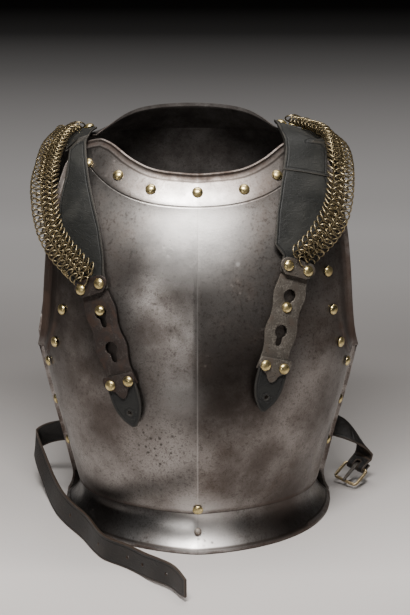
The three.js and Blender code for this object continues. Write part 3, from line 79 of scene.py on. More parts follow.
@dataclass(frozen=True)
class Amount:
    """A number that varies over a surface, on which sums are written as plain expressions."""

    sheet: "ShaderSheet"
    socket: bpy.types.NodeSocket

    def _sum(self, operation: str, first: "Amount | float", second: "Amount | float") -> "Amount":
        """Joins two amounts by one Math node.

        Args:
            operation: The node's operation.
            first: Its first value.
            second: Its second value.

        Returns:
            The new amount.
        """
        made = self.sheet.node("ShaderNodeMath", {"operation": operation}, {0: first, 1: second})
        return Amount(self.sheet, made.outputs[0])

    def __add__(self, other: "Amount | float") -> "Amount":
        """This amount plus another."""
        return self._sum("ADD", self, other)

    def __radd__(self, other: float) -> "Amount":
        """A number plus this amount."""
        return self._sum("ADD", other, self)

    def __sub__(self, other: "Amount | float") -> "Amount":
        """This amount less another."""
        return self._sum("SUBTRACT", self, other)

    def __rsub__(self, other: float) -> "Amount":
        """A number less this amount."""
        return self._sum("SUBTRACT", other, self)

    def __mul__(self, other: "Amount | float") -> "Amount":
        """This amount times another."""
        return self._sum("MULTIPLY", self, other)

    def larger(self, other: "Amount | float") -> "Amount":
        """The larger of the two at each place."""
        return self._sum("MAXIMUM", self, other)

    def size(self) -> "Amount":
        """This amount without its sign."""
        return self._sum("ABSOLUTE", self, 0.0)

    def fade(self, low: float, high: float) -> "Amount":
        """Falls smoothly from 1 to 0 while this amount goes from low to high."""
        return self.between(low, high, 1.0, 0.0)

    def between(self, low: float, high: float, start: float = 0.0, end: float = 1.0) -> "Amount":
        """Rises smoothly from start to end while this amount goes from low to high.

        Args:
            low: The amount at which the result is start.
            high: The amount at which the result is end.
            start: The result at low.
            end: The result at high.

        Returns:
            The new amount.
        """
        settings = {"interpolation_type": "SMOOTHSTEP"}
        sockets = {"Value": self, "From Min": low, "From Max": high, "To Min": start, "To Max": end}
        made = self.sheet.node("ShaderNodeMapRange", settings, sockets)
        return Amount(self.sheet, made.outputs[0])


class ShaderSheet:
    """One material while its nodes are being written."""

    def __init__(self, name: str) -> None:
        """Starts an empty material.

        Args:
            name: The name of the material.
        """
        self.material = bpy.data.materials.new(name)
        self.material.use_nodes = True
        self.tree = self.material.node_tree
        self.tree.nodes.clear()
        self.place = self.node("ShaderNodeTexCoord").outputs["Object"]

    def node(
        self, kind: str, settings: dict | None = None, sockets: dict | None = None
    ) -> bpy.types.Node:
        """Adds one node.

        Args:
            kind: The node's type.
            settings: Values of the node's own properties.
            sockets: Numbers, colours, amounts or sockets for its inputs, by name or number.

        Returns:
            The new node.
        """
        made = self.tree.nodes.new(kind)
        for key, value in (settings or {}).items():
            setattr(made, key, value)
        for key, value in (sockets or {}).items():
            self.feed(made.inputs[key], value)
        return made

    def feed(self, socket: bpy.types.NodeSocket, value: object) -> None:
        """Links or sets one input.

        Args:
            socket: The input.
            value: An amount, a socket, a number or a colour.
        """
        if isinstance(value, Amount):
            self.tree.links.new(value.socket, socket)
        elif isinstance(value, bpy.types.NodeSocket):
            self.tree.links.new(value, socket)
        else:
            socket.default_value = value

    def axes(self) -> list[Amount]:
        """Parts the place on the object.

        Returns:
            Its distances in metres along X, Y and Z.
        """
        parts = self.node("ShaderNodeSeparateXYZ", {}, {0: self.place})
        return [Amount(self, parts.outputs[axis]) for axis in "XYZ"]

    def stretched(self, x: float, y: float, z: float) -> bpy.types.NodeSocket:
        """The place on the object with each axis multiplied.

        Args:
            x: What X is multiplied by.
            y: What Y is multiplied by.
            z: What Z is multiplied by.

        Returns:
            The place.
        """
        sockets = {"Vector": self.place, "Scale": (x, y, z)}
        return self.node("ShaderNodeMapping", {}, sockets).outputs[0]

    def noise(
        self,
        scale: float,
        detail: float = 4.0,
        rough: float = 0.55,
        warp: float = 0.0,
        place: bpy.types.NodeSocket | None = None,
    ) -> Amount:
        """Cloudy variation.

        Args:
            scale: Clouds for each metre.
            detail: How many finer layers are added.
            rough: How strong the finer layers are.
            warp: How far the clouds are bent.
            place: Where it is read, the object's own place if none is given.

        Returns:
            An amount from 0 to 1.
        """
        sockets = {
            "Vector": place or self.place,
            "Scale": scale,
            "Detail": detail,
            "Roughness": rough,
            "Distortion": warp,
        }
        return Amount(self, self.node("ShaderNodeTexNoise", {}, sockets).outputs[0])

    def cells(self, scale: float, feature: str = "F1") -> Amount:
        """Distance in a pattern of scattered cells.

        Args:
            scale: Cells for each metre.
            feature: F1 for the distance to a cell's middle, DISTANCE_TO_EDGE for its border.

        Returns:
            The distance, as a share of a cell.
        """
        sockets = {"Vector": self.place, "Scale": scale}
        made = self.node("ShaderNodeTexVoronoi", {"feature": feature}, sockets)
        return Amount(self, made.outputs["Distance"])

    def near(self, point: Sequence[float], inner: float, outer: float) -> Amount:
        """One at a point of the object, fading to nothing around it.

        Args:
            point: The point, in metres.
            inner: The distance up to which it is one.
            outer: The distance from which it is nothing.

        Returns:
            An amount from 0 to 1.
        """
        sockets = {0: self.place, 1: tuple(point)}
        made = self.node("ShaderNodeVectorMath", {"operation": "DISTANCE"}, sockets)
        return Amount(self, made.outputs["Value"]).fade(inner, outer)

    def attribute(self, name: str) -> Amount:
        """Reads a number kept at the mesh's own points.

        Args:
            name: The number's name.

        Returns:
            The number over the surface.
        """
        made = self.node("ShaderNodeAttribute", {"attribute_name": name})
        return Amount(self, made.outputs["Fac"])

    def painted(
        self, ground: tuple | bpy.types.NodeSocket, *coats: tuple
    ) -> tuple | bpy.types.NodeSocket:
        """Lays coats of colour over a ground, one after the other.

        Args:
            ground: The colour underneath.
            coats: For each coat, how much of it shows from 0 to 1, and its colour.

        Returns:
            The colour on top.
        """
        for share, tone in coats:
            sockets = {0: share, 6: colour(ground), 7: colour(tone)}
            ground = self.node("ShaderNodeMix", {"data_type": "RGBA"}, sockets).outputs[2]
        return ground

    def relief(self, height: Amount, depth: float, strength: float) -> bpy.types.NodeSocket:
        """Surface relief.

        Args:
            height: The pattern of the relief.
            depth: The relief in metres between 0 and 1 of the pattern.
            strength: How much of it shows.

        Returns:
            The normal to shade with.
        """
        sockets = {"Height": height, "Distance": depth, "Strength": strength}
        return self.node("ShaderNodeBump", {}, sockets).outputs[0]

    def finish(self, sockets: dict) -> bpy.types.Material:
        """Ends the material in one surface shader.

        Args:
            sockets: Values or links of the shader's inputs.

        Returns:
            The finished material.
        """
        shader = self.node("ShaderNodeBsdfPrincipled", {}, sockets)
        ending = self.node("ShaderNodeOutputMaterial")
        self.tree.links.new(shader.outputs[0], ending.inputs["Surface"])
        return self.material


def colour(value: tuple | bpy.types.NodeSocket) -> tuple | bpy.types.NodeSocket:
    """A colour of three numbers with its fourth added, and a socket as it is."""
    return (*value, 1.0) if isinstance(value, tuple) else value


# Finishes

@dataclass(frozen=True)
class PlateSteel:
    """Polished steel under a thin mottled brown patina, left raw and rusty inside, with painted
    highlights and painted shade over the front.
    """

    bright: tuple = (0.50, 0.475, 0.455)
    # Colour of the mottled tarnish, also used for painted shade.
    stain_and_shade: tuple = (0.16, 0.130, 0.112)
    # Colour of the dark flecks, also used for painted shade.
    flecks_and_shade: tuple = (0.060, 0.048, 0.042)
    rust: tuple = (0.075, 0.046, 0.034)
    inside: tuple = (0.008, 0.005, 0.004)
    pit: tuple = (0.04, 0.03, 0.024)
    groove: tuple = (0.05, 0.04, 0.034)
    name: str = "plate steel"
    # Colour of the painted highlights.
    painted_highlight: tuple = (0.80, 0.775, 0.755)
    pitted_place: tuple = (-0.052, -0.094, 0.125)
    pitted_reach: tuple = (0.012, 0.075)
    dark_core: float = 0.12
    highlight_core: float = 0.2
    # Painted shade, as x, y, z, reach and depth: dark places over the front and the flange.
    shaded_places: tuple = (
        (-0.055, -0.088, 0.252, 0.060, 0.70),
        (0.042, -0.096, 0.190, 0.105, 0.95),
        (-0.125, -0.055, 0.225, 0.120, 0.85),
        (0.150, 0.000, 0.270, 0.130, 0.55),
        (-0.165, -0.010, 0.265, 0.120, 1.00),
        (-0.100, -0.070, 0.150, 0.085, 0.85),
        (0.060, -0.090, 0.095, 0.085, 0.85),
        (0.130, -0.050, 0.150, 0.080, 0.70),
        (-0.026, -0.086, 0.292, 0.052, 0.80),
        (-0.075, -0.075, 0.318, 0.045, 0.70),
        (0.120, -0.050, 0.070, 0.060, 0.80),
        (0.105, -0.055, 0.035, 0.080, 1.00),
        (-0.125, -0.050, 0.035, 0.060, 0.90),
        (-0.182, 0.000, 0.235, 0.070, 1.00),
        (0.170, 0.000, 0.235, 0.070, 1.00),
    )
    # Painted highlights, as x, y, z, reach and share: light spots on the chest, the flange and the
    # belly, and one tiny painted glint.
    highlight_places: tuple = (
        (-0.008, -0.055, 0.355, 0.075, 0.80),
        (-0.004, -0.105, 0.018, 0.065, 0.90),
        (-0.022, -0.095, 0.185, 0.035, 0.22),
        (0.037, -0.069, 0.327, 0.0035, 0.90),
    )
    ridge: float = -0.006
    ridge_line: tuple = (0.0003, 0.0011)
    # Painted shade of the facet on the +X side of the ridge.
    facet_half: float = 0.0015
    facet_share: float = 0.30
    front_end: float = 0.04
    # Painted shade that darkens the front below these heights.
    shade: float = 0.36
    shade_heights: tuple = (0.245, 0.335)
    band_line: tuple = (0.0003, 0.0013)
    band_start: float = 0.002
    # How much darker the neck band is painted.
    band_darkening: float = 0.45
    band_low: float = 0.3835
    band_middle: float = -0.009
    band_bow: float = 1.0
    band_turn: float = 110.0
    rust_reach: tuple = (0.0015, 0.0075)
    wiped_depths: tuple = (0.10, 0.13)
    wiped_heights: tuple = (0.40, 0.42)
    wiped_share: float = 0.85
    seam_reach: tuple = (0.0004, 0.0022)
    seam_heights: tuple = (0.035, 0.10)
    groove_starts: tuple = (0.0040, 0.0052)
    groove_ends: tuple = (0.0060, 0.0076)
    neck_heights: tuple = (0.33, 0.36)
    lip_heights: tuple = (0.008, 0.018)
    relief_depth: float = 0.00009

    def build(self) -> bpy.types.Material:
        """Writes the material.

        Returns:
            The material.
        """
        sheet = ShaderSheet(self.name)
        x, y, z = sheet.axes()
        clouds = sheet.noise(scale=9.0, detail=6.0, rough=0.62, warp=0.4)
        patches = sheet.noise(scale=38.0, detail=5.0, rough=0.65)
        grain = sheet.noise(scale=420.0, detail=3.0, rough=0.7)
        speckle = sheet.noise(scale=1100.0, detail=2.0, rough=0.6)
        flecks = sheet.noise(scale=210.0, detail=4.0, rough=0.75).between(0.52, 0.66)
        dents = sheet.noise(scale=24.0, detail=2.0, rough=0.5)
        lengthwise = sheet.stretched(14.0, 14.0, 1.0)
        scratches = sheet.noise(scale=60.0, detail=3.0, rough=0.6, place=lengthwise)
        front = y.fade(0.0, self.front_end)
        from_edge = sheet.attribute("rim")
        outside = 1.0 - sheet.attribute("inner").between(0.45, 0.55)
        inner = 1.0 - outside
        # Painted shade: the facet on the +X side of the ridge is darkened along with the tarnish.
        facet_shade = x.between(self.ridge - self.facet_half, self.ridge + self.facet_half) * front
        stain_and_facet_shade = (clouds * 0.62 + patches * 0.38).between(0.42, 0.66) + facet_shade * self.facet_share
        pits = self.pits(sheet, patches, grain)
        wiped = y.between(*self.wiped_depths) * z.between(*self.wiped_heights)
        near_edge = from_edge.fade(*self.rust_reach) * (1.0 - wiped * self.wiped_share)
        rusty = near_edge * (patches.between(0.40, 0.62) * 0.5 + 0.5)
        seam = from_edge.fade(*self.seam_reach) * z.fade(*self.seam_heights) * front
        grooved = z.between(*self.neck_heights).larger(z.fade(*self.lip_heights)) * outside
        groove = from_edge.between(*self.groove_starts) * from_edge.fade(*self.groove_ends) * grooved
        over_band = self.over_band(x, z)
        # A thin line under the neck band's step, sunk as a bump and painted dark as the shadow of the
        # step.
        band = over_band.size().fade(*self.band_line) * front
        neck_band = over_band.between(0.0, self.band_start) * front
        ridge_lightened = (x - self.ridge).size().fade(*self.ridge_line) * front
        # Painted highlights laid over the front and the flange.
        polish = [
            (sheet.near((px, py, pz), reach * self.highlight_core, reach) * share, self.painted_highlight)
            for px, py, pz, reach, share in self.highlight_places
        ]
        base = sheet.painted(
            self.bright,
            # Tarnish, with the painted shade of the +X facet.
            (stain_and_facet_shade * 0.72 + grain.between(0.45, 0.75) * 0.30, self.stain_and_shade),
            (speckle.between(0.48, 0.68) * 0.50, self.stain_and_shade),
            (flecks * 0.42, self.flecks_and_shade),
            # Painted shade: the dark places, and the front darker below the chest.
            (self.painted_shade(sheet, clouds, patches) * front, self.flecks_and_shade),
            (z.fade(*self.shade_heights) * front * self.shade, self.flecks_and_shade),
            # The neck band painted darker.
            (neck_band * self.band_darkening, self.stain_and_shade),
            *polish,
            # The ridge line painted lighter.
            (ridge_lightened * 0.45, self.bright),
            (rusty * 0.80, self.rust),
            # Grooves and the seam painted dark, and the line under the neck band painted dark as the
            # painted shadow of its step.
            ((groove * 0.8).larger(band * 0.7).larger(seam * 0.9), self.groove),
            (pits * 0.85, self.pit),
            (inner * (0.75 + patches * 0.25), self.inside),
        )
        height = grain * 0.5 + speckle * 0.4 + scratches * 0.25 + dents * 6.0 - pits * 1.4 - band * 3.0
        rough = 0.30 + stain_and_facet_shade * 0.13 + speckle.between(0.4, 0.7) * 0.07 + pits * 0.3 + rusty * 0.2
        return sheet.finish({
            "Base Color": base,
            "Metallic": 1.0 - (pits * 0.6 + rusty * 0.35).larger(inner * 0.7),
            "Roughness": rough + inner * 0.3,
            "Normal": sheet.relief(height, self.relief_depth, 0.8),
        })

    def pits(self, sheet: ShaderSheet, patches: Amount, grain: Amount) -> Amount:
        """Fine and wide pits, close together at one place and scattered elsewhere.

        Args:
            sheet: The material being written.
            patches: Where scattered pits gather.
            grain: What breaks the fine pits up.

        Returns:
            One in a pit and nothing outside.
        """
        fine = sheet.cells(330.0).fade(0.14, 0.30) * grain.between(0.42, 0.55)
        wide = sheet.cells(125.0).fade(0.12, 0.26) * patches.between(0.44, 0.54)
        pitted = sheet.near(self.pitted_place, *self.pitted_reach)
        return fine.larger(wide) * pitted.larger(patches.between(0.52, 0.72) * 0.55)

    def painted_shade(self, sheet: ShaderSheet, clouds: Amount, patches: Amount) -> Amount:
        """Painted shade and painted dark reflections in places over the front, frayed by noise.

        Args:
            sheet: The material being written.
            clouds: Wide variation that frays them.
            patches: Finer variation that frays them.

        Returns:
            How dark each place is, from 0 to 1.
        """
        places = [
            sheet.near((x, y, z), reach * self.dark_core, reach) * depth
            for x, y, z, reach, depth in self.shaded_places
        ]
        frayed = (clouds * 0.9 + patches * 0.5).between(0.38, 0.72, 0.45, 1.0)
        return reduce(Amount.larger, places) * frayed

    def over_band(self, x: Amount, z: Amount) -> Amount:
        """The height over the crescent line under the neck band.

        Args:
            x: The place across.
            z: The place upwards.

        Returns:
            The height in metres, less than nothing below the line.
        """
        aside = x - self.band_middle
        square = aside * aside
        return z - (square * self.band_bow + square * square * self.band_turn + self.band_low)


@dataclass(frozen=True)
class CastBrass:
    """Old brass, rubbed bright on top and brown where dirt stays."""

    bright: tuple
    dull: tuple
    polish: float = 0.24
    name: str = "rivet brass"
    relief_depth: float = 0.00012

    def build(self) -> bpy.types.Material:
        """Writes the material.

        Returns:
            The material.
        """
        sheet = ShaderSheet(self.name)
        clouds = sheet.noise(scale=130.0, detail=5.0, rough=0.6, warp=0.5)
        grain = sheet.noise(scale=900.0, detail=3.0, rough=0.6)
        tarnish = (clouds * 0.7 + grain * 0.3).between(0.40, 0.66)
        return sheet.finish({
            "Base Color": sheet.painted(self.bright, (tarnish * 0.8, self.dull)),
            "Metallic": 1.0 - tarnish * 0.15,
            "Roughness": self.polish + tarnish * 0.22,
            "Normal": sheet.relief(grain * 0.5 + clouds, self.relief_depth, 0.6),
        })


@dataclass(frozen=True)
class ForgedIron:
    """Dark brown iron, rough from the hammer and eaten by rust."""

    name: str
    skin: tuple
    worn: tuple
    rust: tuple = (0.14, 0.075, 0.045)
    pitting: float = 0.5
    pit: tuple = (0.02, 0.015, 0.012)
    relief_depth: float = 0.0003

    def build(self) -> bpy.types.Material:
        """Writes the material.

        Returns:
            The material.
        """
        sheet = ShaderSheet(self.name)
        clouds = sheet.noise(scale=70.0, detail=6.0, rough=0.65, warp=0.6)
        fine = sheet.noise(scale=520.0, detail=4.0, rough=0.65)
        eaten = sheet.cells(420.0).fade(0.08, 0.36) * sheet.noise(scale=150.0).between(0.46, 0.60)
        rubbed = (fine * 0.5 + clouds * 0.5).between(0.50, 0.68)
        base = sheet.painted(
            self.skin,
            (rubbed, self.worn),
            (clouds.fade(0.35, 0.5) * 0.6, self.rust),
            (eaten * self.pitting, self.pit),
        )
        height = fine + clouds - eaten * 2.0 * self.pitting
        return sheet.finish({
            "Base Color": base,
            "Metallic": 0.75 - eaten * 0.4,
            "Roughness": 0.62 - rubbed * 0.18,
            "Normal": sheet.relief(height, self.relief_depth, 0.9),
        })


@dataclass(frozen=True)
class Hide:
    """Strap leather with a grain, creases across it and dull worn places."""

    name: str
    skin: tuple
    faded: tuple
    cut: tuple
    shine: float = 0.48
    groove: tuple = (0.004, 0.004, 0.004)
    cut_reach: tuple = (0.0004, 0.0022)
    groove_starts: tuple = (0.0022, 0.0030)
    groove_ends: tuple = (0.0034, 0.0044)
    relief_depth: float = 0.00016

    def build(self) -> bpy.types.Material:
        """Writes the material.

        Returns:
            The material.
        """
        sheet = ShaderSheet(self.name)
        clouds = sheet.noise(scale=22.0, detail=5.0, rough=0.6, warp=0.3)
        pores = sheet.cells(900.0, "DISTANCE_TO_EDGE").between(0.0, 0.25)
        fine = sheet.noise(scale=600.0, detail=4.0, rough=0.65)
        across = sheet.stretched(1.0, 1.0, 3.2)
        creases = sheet.noise(scale=55.0, detail=4.0, rough=0.6, warp=1.2, place=across)
        from_edge = sheet.attribute("rim")
        border = from_edge.between(*self.groove_starts) * from_edge.fade(*self.groove_ends)
        base = sheet.painted(
            self.skin,
            (clouds.between(0.42, 0.66) * 0.8, self.faded),
            (fine.between(0.5, 0.8) * 0.25, self.faded),
            (from_edge.fade(*self.cut_reach) * 0.6, self.cut),
            (border * 0.7, self.groove),
        )
        height = pores * 0.5 + fine * 0.6 + creases.between(0.47, 0.53) * 0.9 - border * 3.0
        return sheet.finish({
            "Base Color": base,
            "Roughness": self.shine + clouds * 0.22,
            "Specular IOR Level": 0.42,
            "Normal": sheet.relief(height, self.relief_depth, 0.75),
        })


@dataclass(frozen=True)
class Paper:
    """The studio's floor in painted light and shade, brightest near the object and changing with the
    distance behind it, with a painted glow far behind it that stands in for a lit backdrop.
    """

    # Painted light and shade: the floor's grey at each distance behind the object.
    painted_greys: tuple = (
        (-2.6, 0.45), (-1.4, 0.15), (-0.60, 0.09), (-0.32, 0.50), (-0.15, 0.72),
        (0.10, 0.45), (0.45, 0.205), (0.90, 0.14), (1.50, 0.06), (6.0, 0.02),
    )
    # Painted light: the floor glows far behind the object, in place of a lit backdrop.
    glow: tuple = (
        (-2.6, 0.0), (0.35, 0.0), (0.60, 0.05), (0.95, 0.20), (1.25, 0.27), (1.70, 0.245),
        (2.35, 0.165), (3.10, 0.075), (3.90, 0.012), (4.60, 0.0), (6.0, 0.0),
    )
    tint: tuple = (1.0, 0.955, 0.93)
    unlit: tuple = (0.0, 0.0, 0.0)
    glow_sides: tuple = (1.6, 4.0)

    def build(self) -> bpy.types.Material:
        """Writes the material.

        Returns:
            The material.
        """
        sheet = ShaderSheet("studio paper")
        aside, way, _ = sheet.axes()
        lit = (aside.size().fade(*self.glow_sides), self.shades(sheet, way, self.glow))
        return sheet.finish({
            "Base Color": self.shades(sheet, way, self.painted_greys),
            "Emission Color": sheet.painted(self.unlit, lit),
            "Emission Strength": 1.0,
            "Roughness": 0.95,
            "Specular IOR Level": 0.0,
        })

    def shades(self, sheet: ShaderSheet, way: Amount, greys: tuple) -> bpy.types.NodeSocket:
        """Painted light and shade: greys that change with the distance behind the object.

        Args:
            sheet: The material being written.
            way: The distance.
            greys: Distances and the grey at each.

        Returns:
            The colour at each distance.
        """
        first, last = greys[0][0], greys[-1][0]
        span = last - first
        ramp = sheet.node("ShaderNodeValToRGB", {}, {0: (way - first) * (1.0 / span)})
        stops = ramp.color_ramp.elements
        while len(stops) < len(greys):
            stops.new(1.0)
        for stop, (at, grey) in zip(stops, greys):
            stop.position = (at - first) / span
            stop.color = (*(grey * part for part in self.tint), 1.0)
        return ramp.outputs[0]


# Modelling by hand operations

def clear_selection() -> None:
    """Leaves nothing selected."""
    bpy.ops.object.select_all(action="DESELECT")


def take(*pieces: bpy.types.Object) -> None:
    """Selects these pieces alone and makes the first one active.

    Args:
        pieces: The pieces.
    """
    clear_selection()
    for piece in pieces:
        piece.select_set(True)
    bpy.context.view_layer.objects.active = pieces[0]


def edit(piece: bpy.types.Object, select: str = "SELECT", mode: str = "FACE") -> None:
    """Goes into edit mode on a piece.

    Args:
        piece: The piece to edit.
        select: What select_all does first.
        mode: VERT, EDGE or FACE selection.
    """
    take(piece)
    bpy.ops.object.mode_set(mode="EDIT")
    bpy.ops.mesh.select_mode(type=mode)
    bpy.ops.mesh.select_all(action=select)


def leave_edit() -> None:
    """Goes back to object mode."""
    bpy.ops.object.mode_set(mode="OBJECT")


def copied(mesh: bpy.types.Mesh, name: str) -> bpy.types.Object:
    """Puts a copy of a mesh into the scene as a piece of its own.

    Args:
        mesh: The mesh to copy.
        name: The piece's name.

    Returns:
        The piece.
    """
    piece = bpy.data.objects.new(name, mesh.copy())
    bpy.context.scene.collection.objects.link(piece)
    return piece


def merge(piece: bpy.types.Object, quads: bool) -> None:
    """Joins the loose triangles of a solid's copy, and stays in edit mode.

    Args:
        piece: The copy.
        quads: Whether flat pairs of triangles become one face.
    """
    edit(piece)
    bpy.ops.mesh.remove_doubles(threshold=MERGE_GAP)
    if quads:
        bpy.ops.mesh.tris_convert_to_quads(face_threshold=QUAD_TURN, shape_threshold=QUAD_SHAPE)


def coat(piece: bpy.types.Object, finish: bpy.types.Material) -> None:
    """Gives a piece one material and no other.

    Args:
        piece: The piece.
        finish: The material.
    """
    piece.data.materials.clear()
    piece.data.materials.append(finish)


def modify(piece: bpy.types.Object, kind: str, settings: dict) -> None:
    """Adds one modifier and applies it.

    Args:
        piece: The piece.
        kind: The modifier's type.
        settings: The modifier's properties.
    """
    take(piece)
    made = piece.modifiers.new(kind.lower(), kind)
    for key, value in settings.items():
        setattr(made, key, value)
    bpy.ops.object.modifier_apply(modifier=made.name)


def soften(piece: bpy.types.Object, width: float, angle: float) -> None:
    """Bevels the sharp edges of a piece.

    Args:
        piece: The piece.
        width: The bevel's width.
        angle: The least angle between the faces of a sharp edge, in degrees.
    """
    limit = {"limit_method": "ANGLE", "angle_limit": math.radians(angle)}
    modify(piece, "BEVEL", {"width": width, "segments": 2, **limit})


def smooth(piece: bpy.types.Object, angle: float) -> None:
    """Shades a piece smooth where its faces meet at less than an angle.

    Args:
        piece: The piece.
        angle: The angle, in degrees.
    """
    take(piece)
    bpy.ops.object.shade_smooth_by_angle(angle=math.radians(angle))


def select_edges(piece: bpy.types.Object, chosen: Callable[[Vector, Vector], bool]) -> None:
    """Selects in edit mode the edges whose two ends pass a test.

    Args:
        piece: The piece, in object mode.
        chosen: Tells from an edge's two ends if it is wanted.
    """
    edit(piece, "DESELECT", "EDGE")
    leave_edit()
    points = piece.data.vertices
    for line in piece.data.edges:
        line.select = chosen(points[line.vertices[0]].co, points[line.vertices[1]].co)
    bpy.ops.object.mode_set(mode="EDIT")


def sharp_lines(piece: bpy.types.Object, angle: float) -> list[tuple[Vector, Vector]]:
    """Reads a piece's sharp edges and leaves edit mode.

    Args:
        piece: The piece, in edit mode.
        angle: The least angle between the faces of a sharp edge, in degrees.

    Returns:
        Each edge as its two ends.
    """
    bpy.ops.mesh.select_mode(type="EDGE")
    bpy.ops.mesh.select_all(action="DESELECT")
    bpy.ops.mesh.edges_select_sharp(sharpness=math.radians(angle))
    leave_edit()
    points = piece.data.vertices
    return [
        (points[line.vertices[0]].co.copy(), points[line.vertices[1]].co.copy())
        for line in piece.data.edges
        if line.select
    ]


def mark_rim(piece: bpy.types.Object, lines: list[tuple[Vector, Vector]]) -> None:
    """Keeps at each point of a piece how far it is from the solid's sharp edges.

    Args:
        piece: The rounded piece.
        lines: The sharp edges, each as its two ends.
    """
    samples = []
    for start, end in lines:
        count = max(1, int((end - start).length / RIM_STEP))
        samples.extend(start.lerp(end, i / count) for i in range(count + 1))
    tree = KDTree(len(samples))
    for number, sample in enumerate(samples):
        tree.insert(sample, number)
    tree.balance()
    layer = piece.data.attributes.new("rim", "FLOAT", "POINT")
    values = [min(RIM_REACH, tree.find(point.co)[2]) for point in piece.data.vertices]
    layer.data.foreach_set("value", values)


def mark_inner(piece: bpy.types.Object) -> None:
    """Keeps at each point of a piece if it lies on the side that faces the wearer.

    Args:
        piece: The rounded piece.
    """
    layer = piece.data.attributes.new("inner", "FLOAT", "POINT")
    values = []
    for point in piece.data.vertices:
        inwards = TORSO_MIDDLE - point.co
        inwards.z = 0.0
        values.append(float(point.normal.dot(inwards.normalized()) > INWARD_SHARE))
    layer.data.foreach_set("value", values)


@dataclass(frozen=True)
class Dressing:
    """How a copy of a solid is rounded into a finished piece."""

    edge: float = 0.0005
    levels: int = 2
    sharp: float = 40.0
    smooth: float = 62.0
    quads: bool = True


def rounded(
    piece: bpy.types.Object,
    lines: list[tuple[Vector, Vector]],
    how: Dressing,
    finish: bpy.types.Material,
) -> None:
    """Rounds a merged copy of a solid and gives it its material.

    Args:
        piece: The copy.
        lines: Its sharp edges, each as its two ends.
        how: The rounding of its edges.
        finish: The material.
    """
    soften(piece, how.edge, how.sharp)
    if how.levels:
        modify(piece, "SUBSURF", {"levels": how.levels, "render_levels": how.levels})
    mark_rim(piece, lines)
    mark_inner(piece)
    smooth(piece, how.smooth)
    coat(piece, finish)


def dressed(
    node: str,
    finish: bpy.types.Material,
    how: Dressing,
    body: str = "cuirass",
    prepare: Callable[[bpy.types.Object], None] | None = None,
) -> bpy.types.Object:
    """Makes the finished piece that stands for one solid.

    Args:
        node: The solid's name.
        finish: The piece's material.
        how: The rounding of its edges.
        body: The body that it rides on.
        prepare: Work on the merged copy before it is rounded.

    Returns:
        The piece.
    """
    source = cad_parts[node].data
    piece = copied(source, "shown_" + node)
    merge(piece, how.quads)
    lines = sharp_lines(piece, how.sharp)
    if prepare:
        prepare(piece)
    rounded(piece, lines, how, finish)
    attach(piece, body)
    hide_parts(node)
    LOG.info("%s: %d faces", piece.name, len(piece.data.polygons))
    return piece


# The studio

def look_at(item: bpy.types.Object, aim: Sequence[float]) -> None:
    """Turns a lamp or the camera to a point.

    Args:
        item: The lamp or camera.
        aim: The point.
    """
    way = Vector(aim) - item.location
    item.rotation_euler = way.to_track_quat("-Z", "Y").to_euler()


@dataclass(frozen=True)
class Softbox:
    """One soft lamp."""

    name: str
    at: tuple
    aim: tuple
    wide: float
    high: float
    power: float
    tint: tuple = (1.0, 0.97, 0.94)

    def build(self) -> None:
        """Hangs the lamp."""
        bpy.ops.object.light_add(type="AREA", location=self.at)
        lamp = bpy.context.object
        lamp.name = self.name
        lamp.data.shape = "RECTANGLE"
        lamp.data.size = self.wide
        lamp.data.size_y = self.high
        lamp.data.energy = self.power
        lamp.data.color = self.tint
        look_at(lamp, self.aim)


@dataclass
class Studio:
    """Camera, floor with backdrop, and lamps."""

    eye: tuple = (0.002, -1.6883, 0.8049)
    target: tuple = (0.002, 0.07112, 0.2332)
    lens: float = 93.0
    sensor: float = 36.0
    floor: float = 16.0
    rise: float = 0.6
    room_light: float = 0.03
    room_tint: tuple = (1.0, 0.97, 0.95)
    lamps: list[Softbox] = field(default_factory=lambda: [
        Softbox("key lamp", (-0.10, -0.95, 1.75), (0.0, 0.0, 0.25), wide=0.80, high=0.30, power=50.0),
        Softbox("top lamp", (0.1, 0.45, 1.9), (0.0, 0.1, 0.3), wide=1.2, high=0.6, power=18.0),
        Softbox("left fill", (-0.75, -1.85, 0.45), (0.0, 0.0, 0.2), wide=0.28, high=0.5, power=3.5),
    ])

    def build(self) -> None:
        """Sets up the whole studio."""
        self.place_camera()
        self.lay_floor()
        for lamp in self.lamps:
            lamp.build()
        world = bpy.data.worlds.new("studio air")
        bpy.context.scene.world = world
        world.use_nodes = True
        air = world.node_tree.nodes["Background"]
        air.inputs["Color"].default_value = colour(self.room_tint)
        air.inputs["Strength"].default_value = self.room_light

    def place_camera(self) -> None:
        """Puts the camera where the photograph was taken from."""
        bpy.ops.object.camera_add(location=self.eye)
        camera = bpy.context.object
        look_at(camera, self.target)
        camera.data.lens = self.lens
        camera.data.sensor_width = self.sensor
        bpy.context.scene.camera = camera

    def lay_floor(self) -> None:
        """Lays the floor, with a soft rise at its far end."""
        bpy.ops.mesh.primitive_plane_add(size=self.floor, location=(0.0, 0.0, 0.0))
        paper = bpy.context.object
        paper.name = "studio_paper"
        far = self.floor / 2 - MM
        select_edges(paper, lambda a, b: min(a.y, b.y) > far)
        rise = {"value": (0.0, self.rise, self.rise)}
        bpy.ops.mesh.extrude_region_move(TRANSFORM_OT_translate=rise)
        leave_edit()
        paper.data.materials.append(Paper().build())


# The sub-assemblies

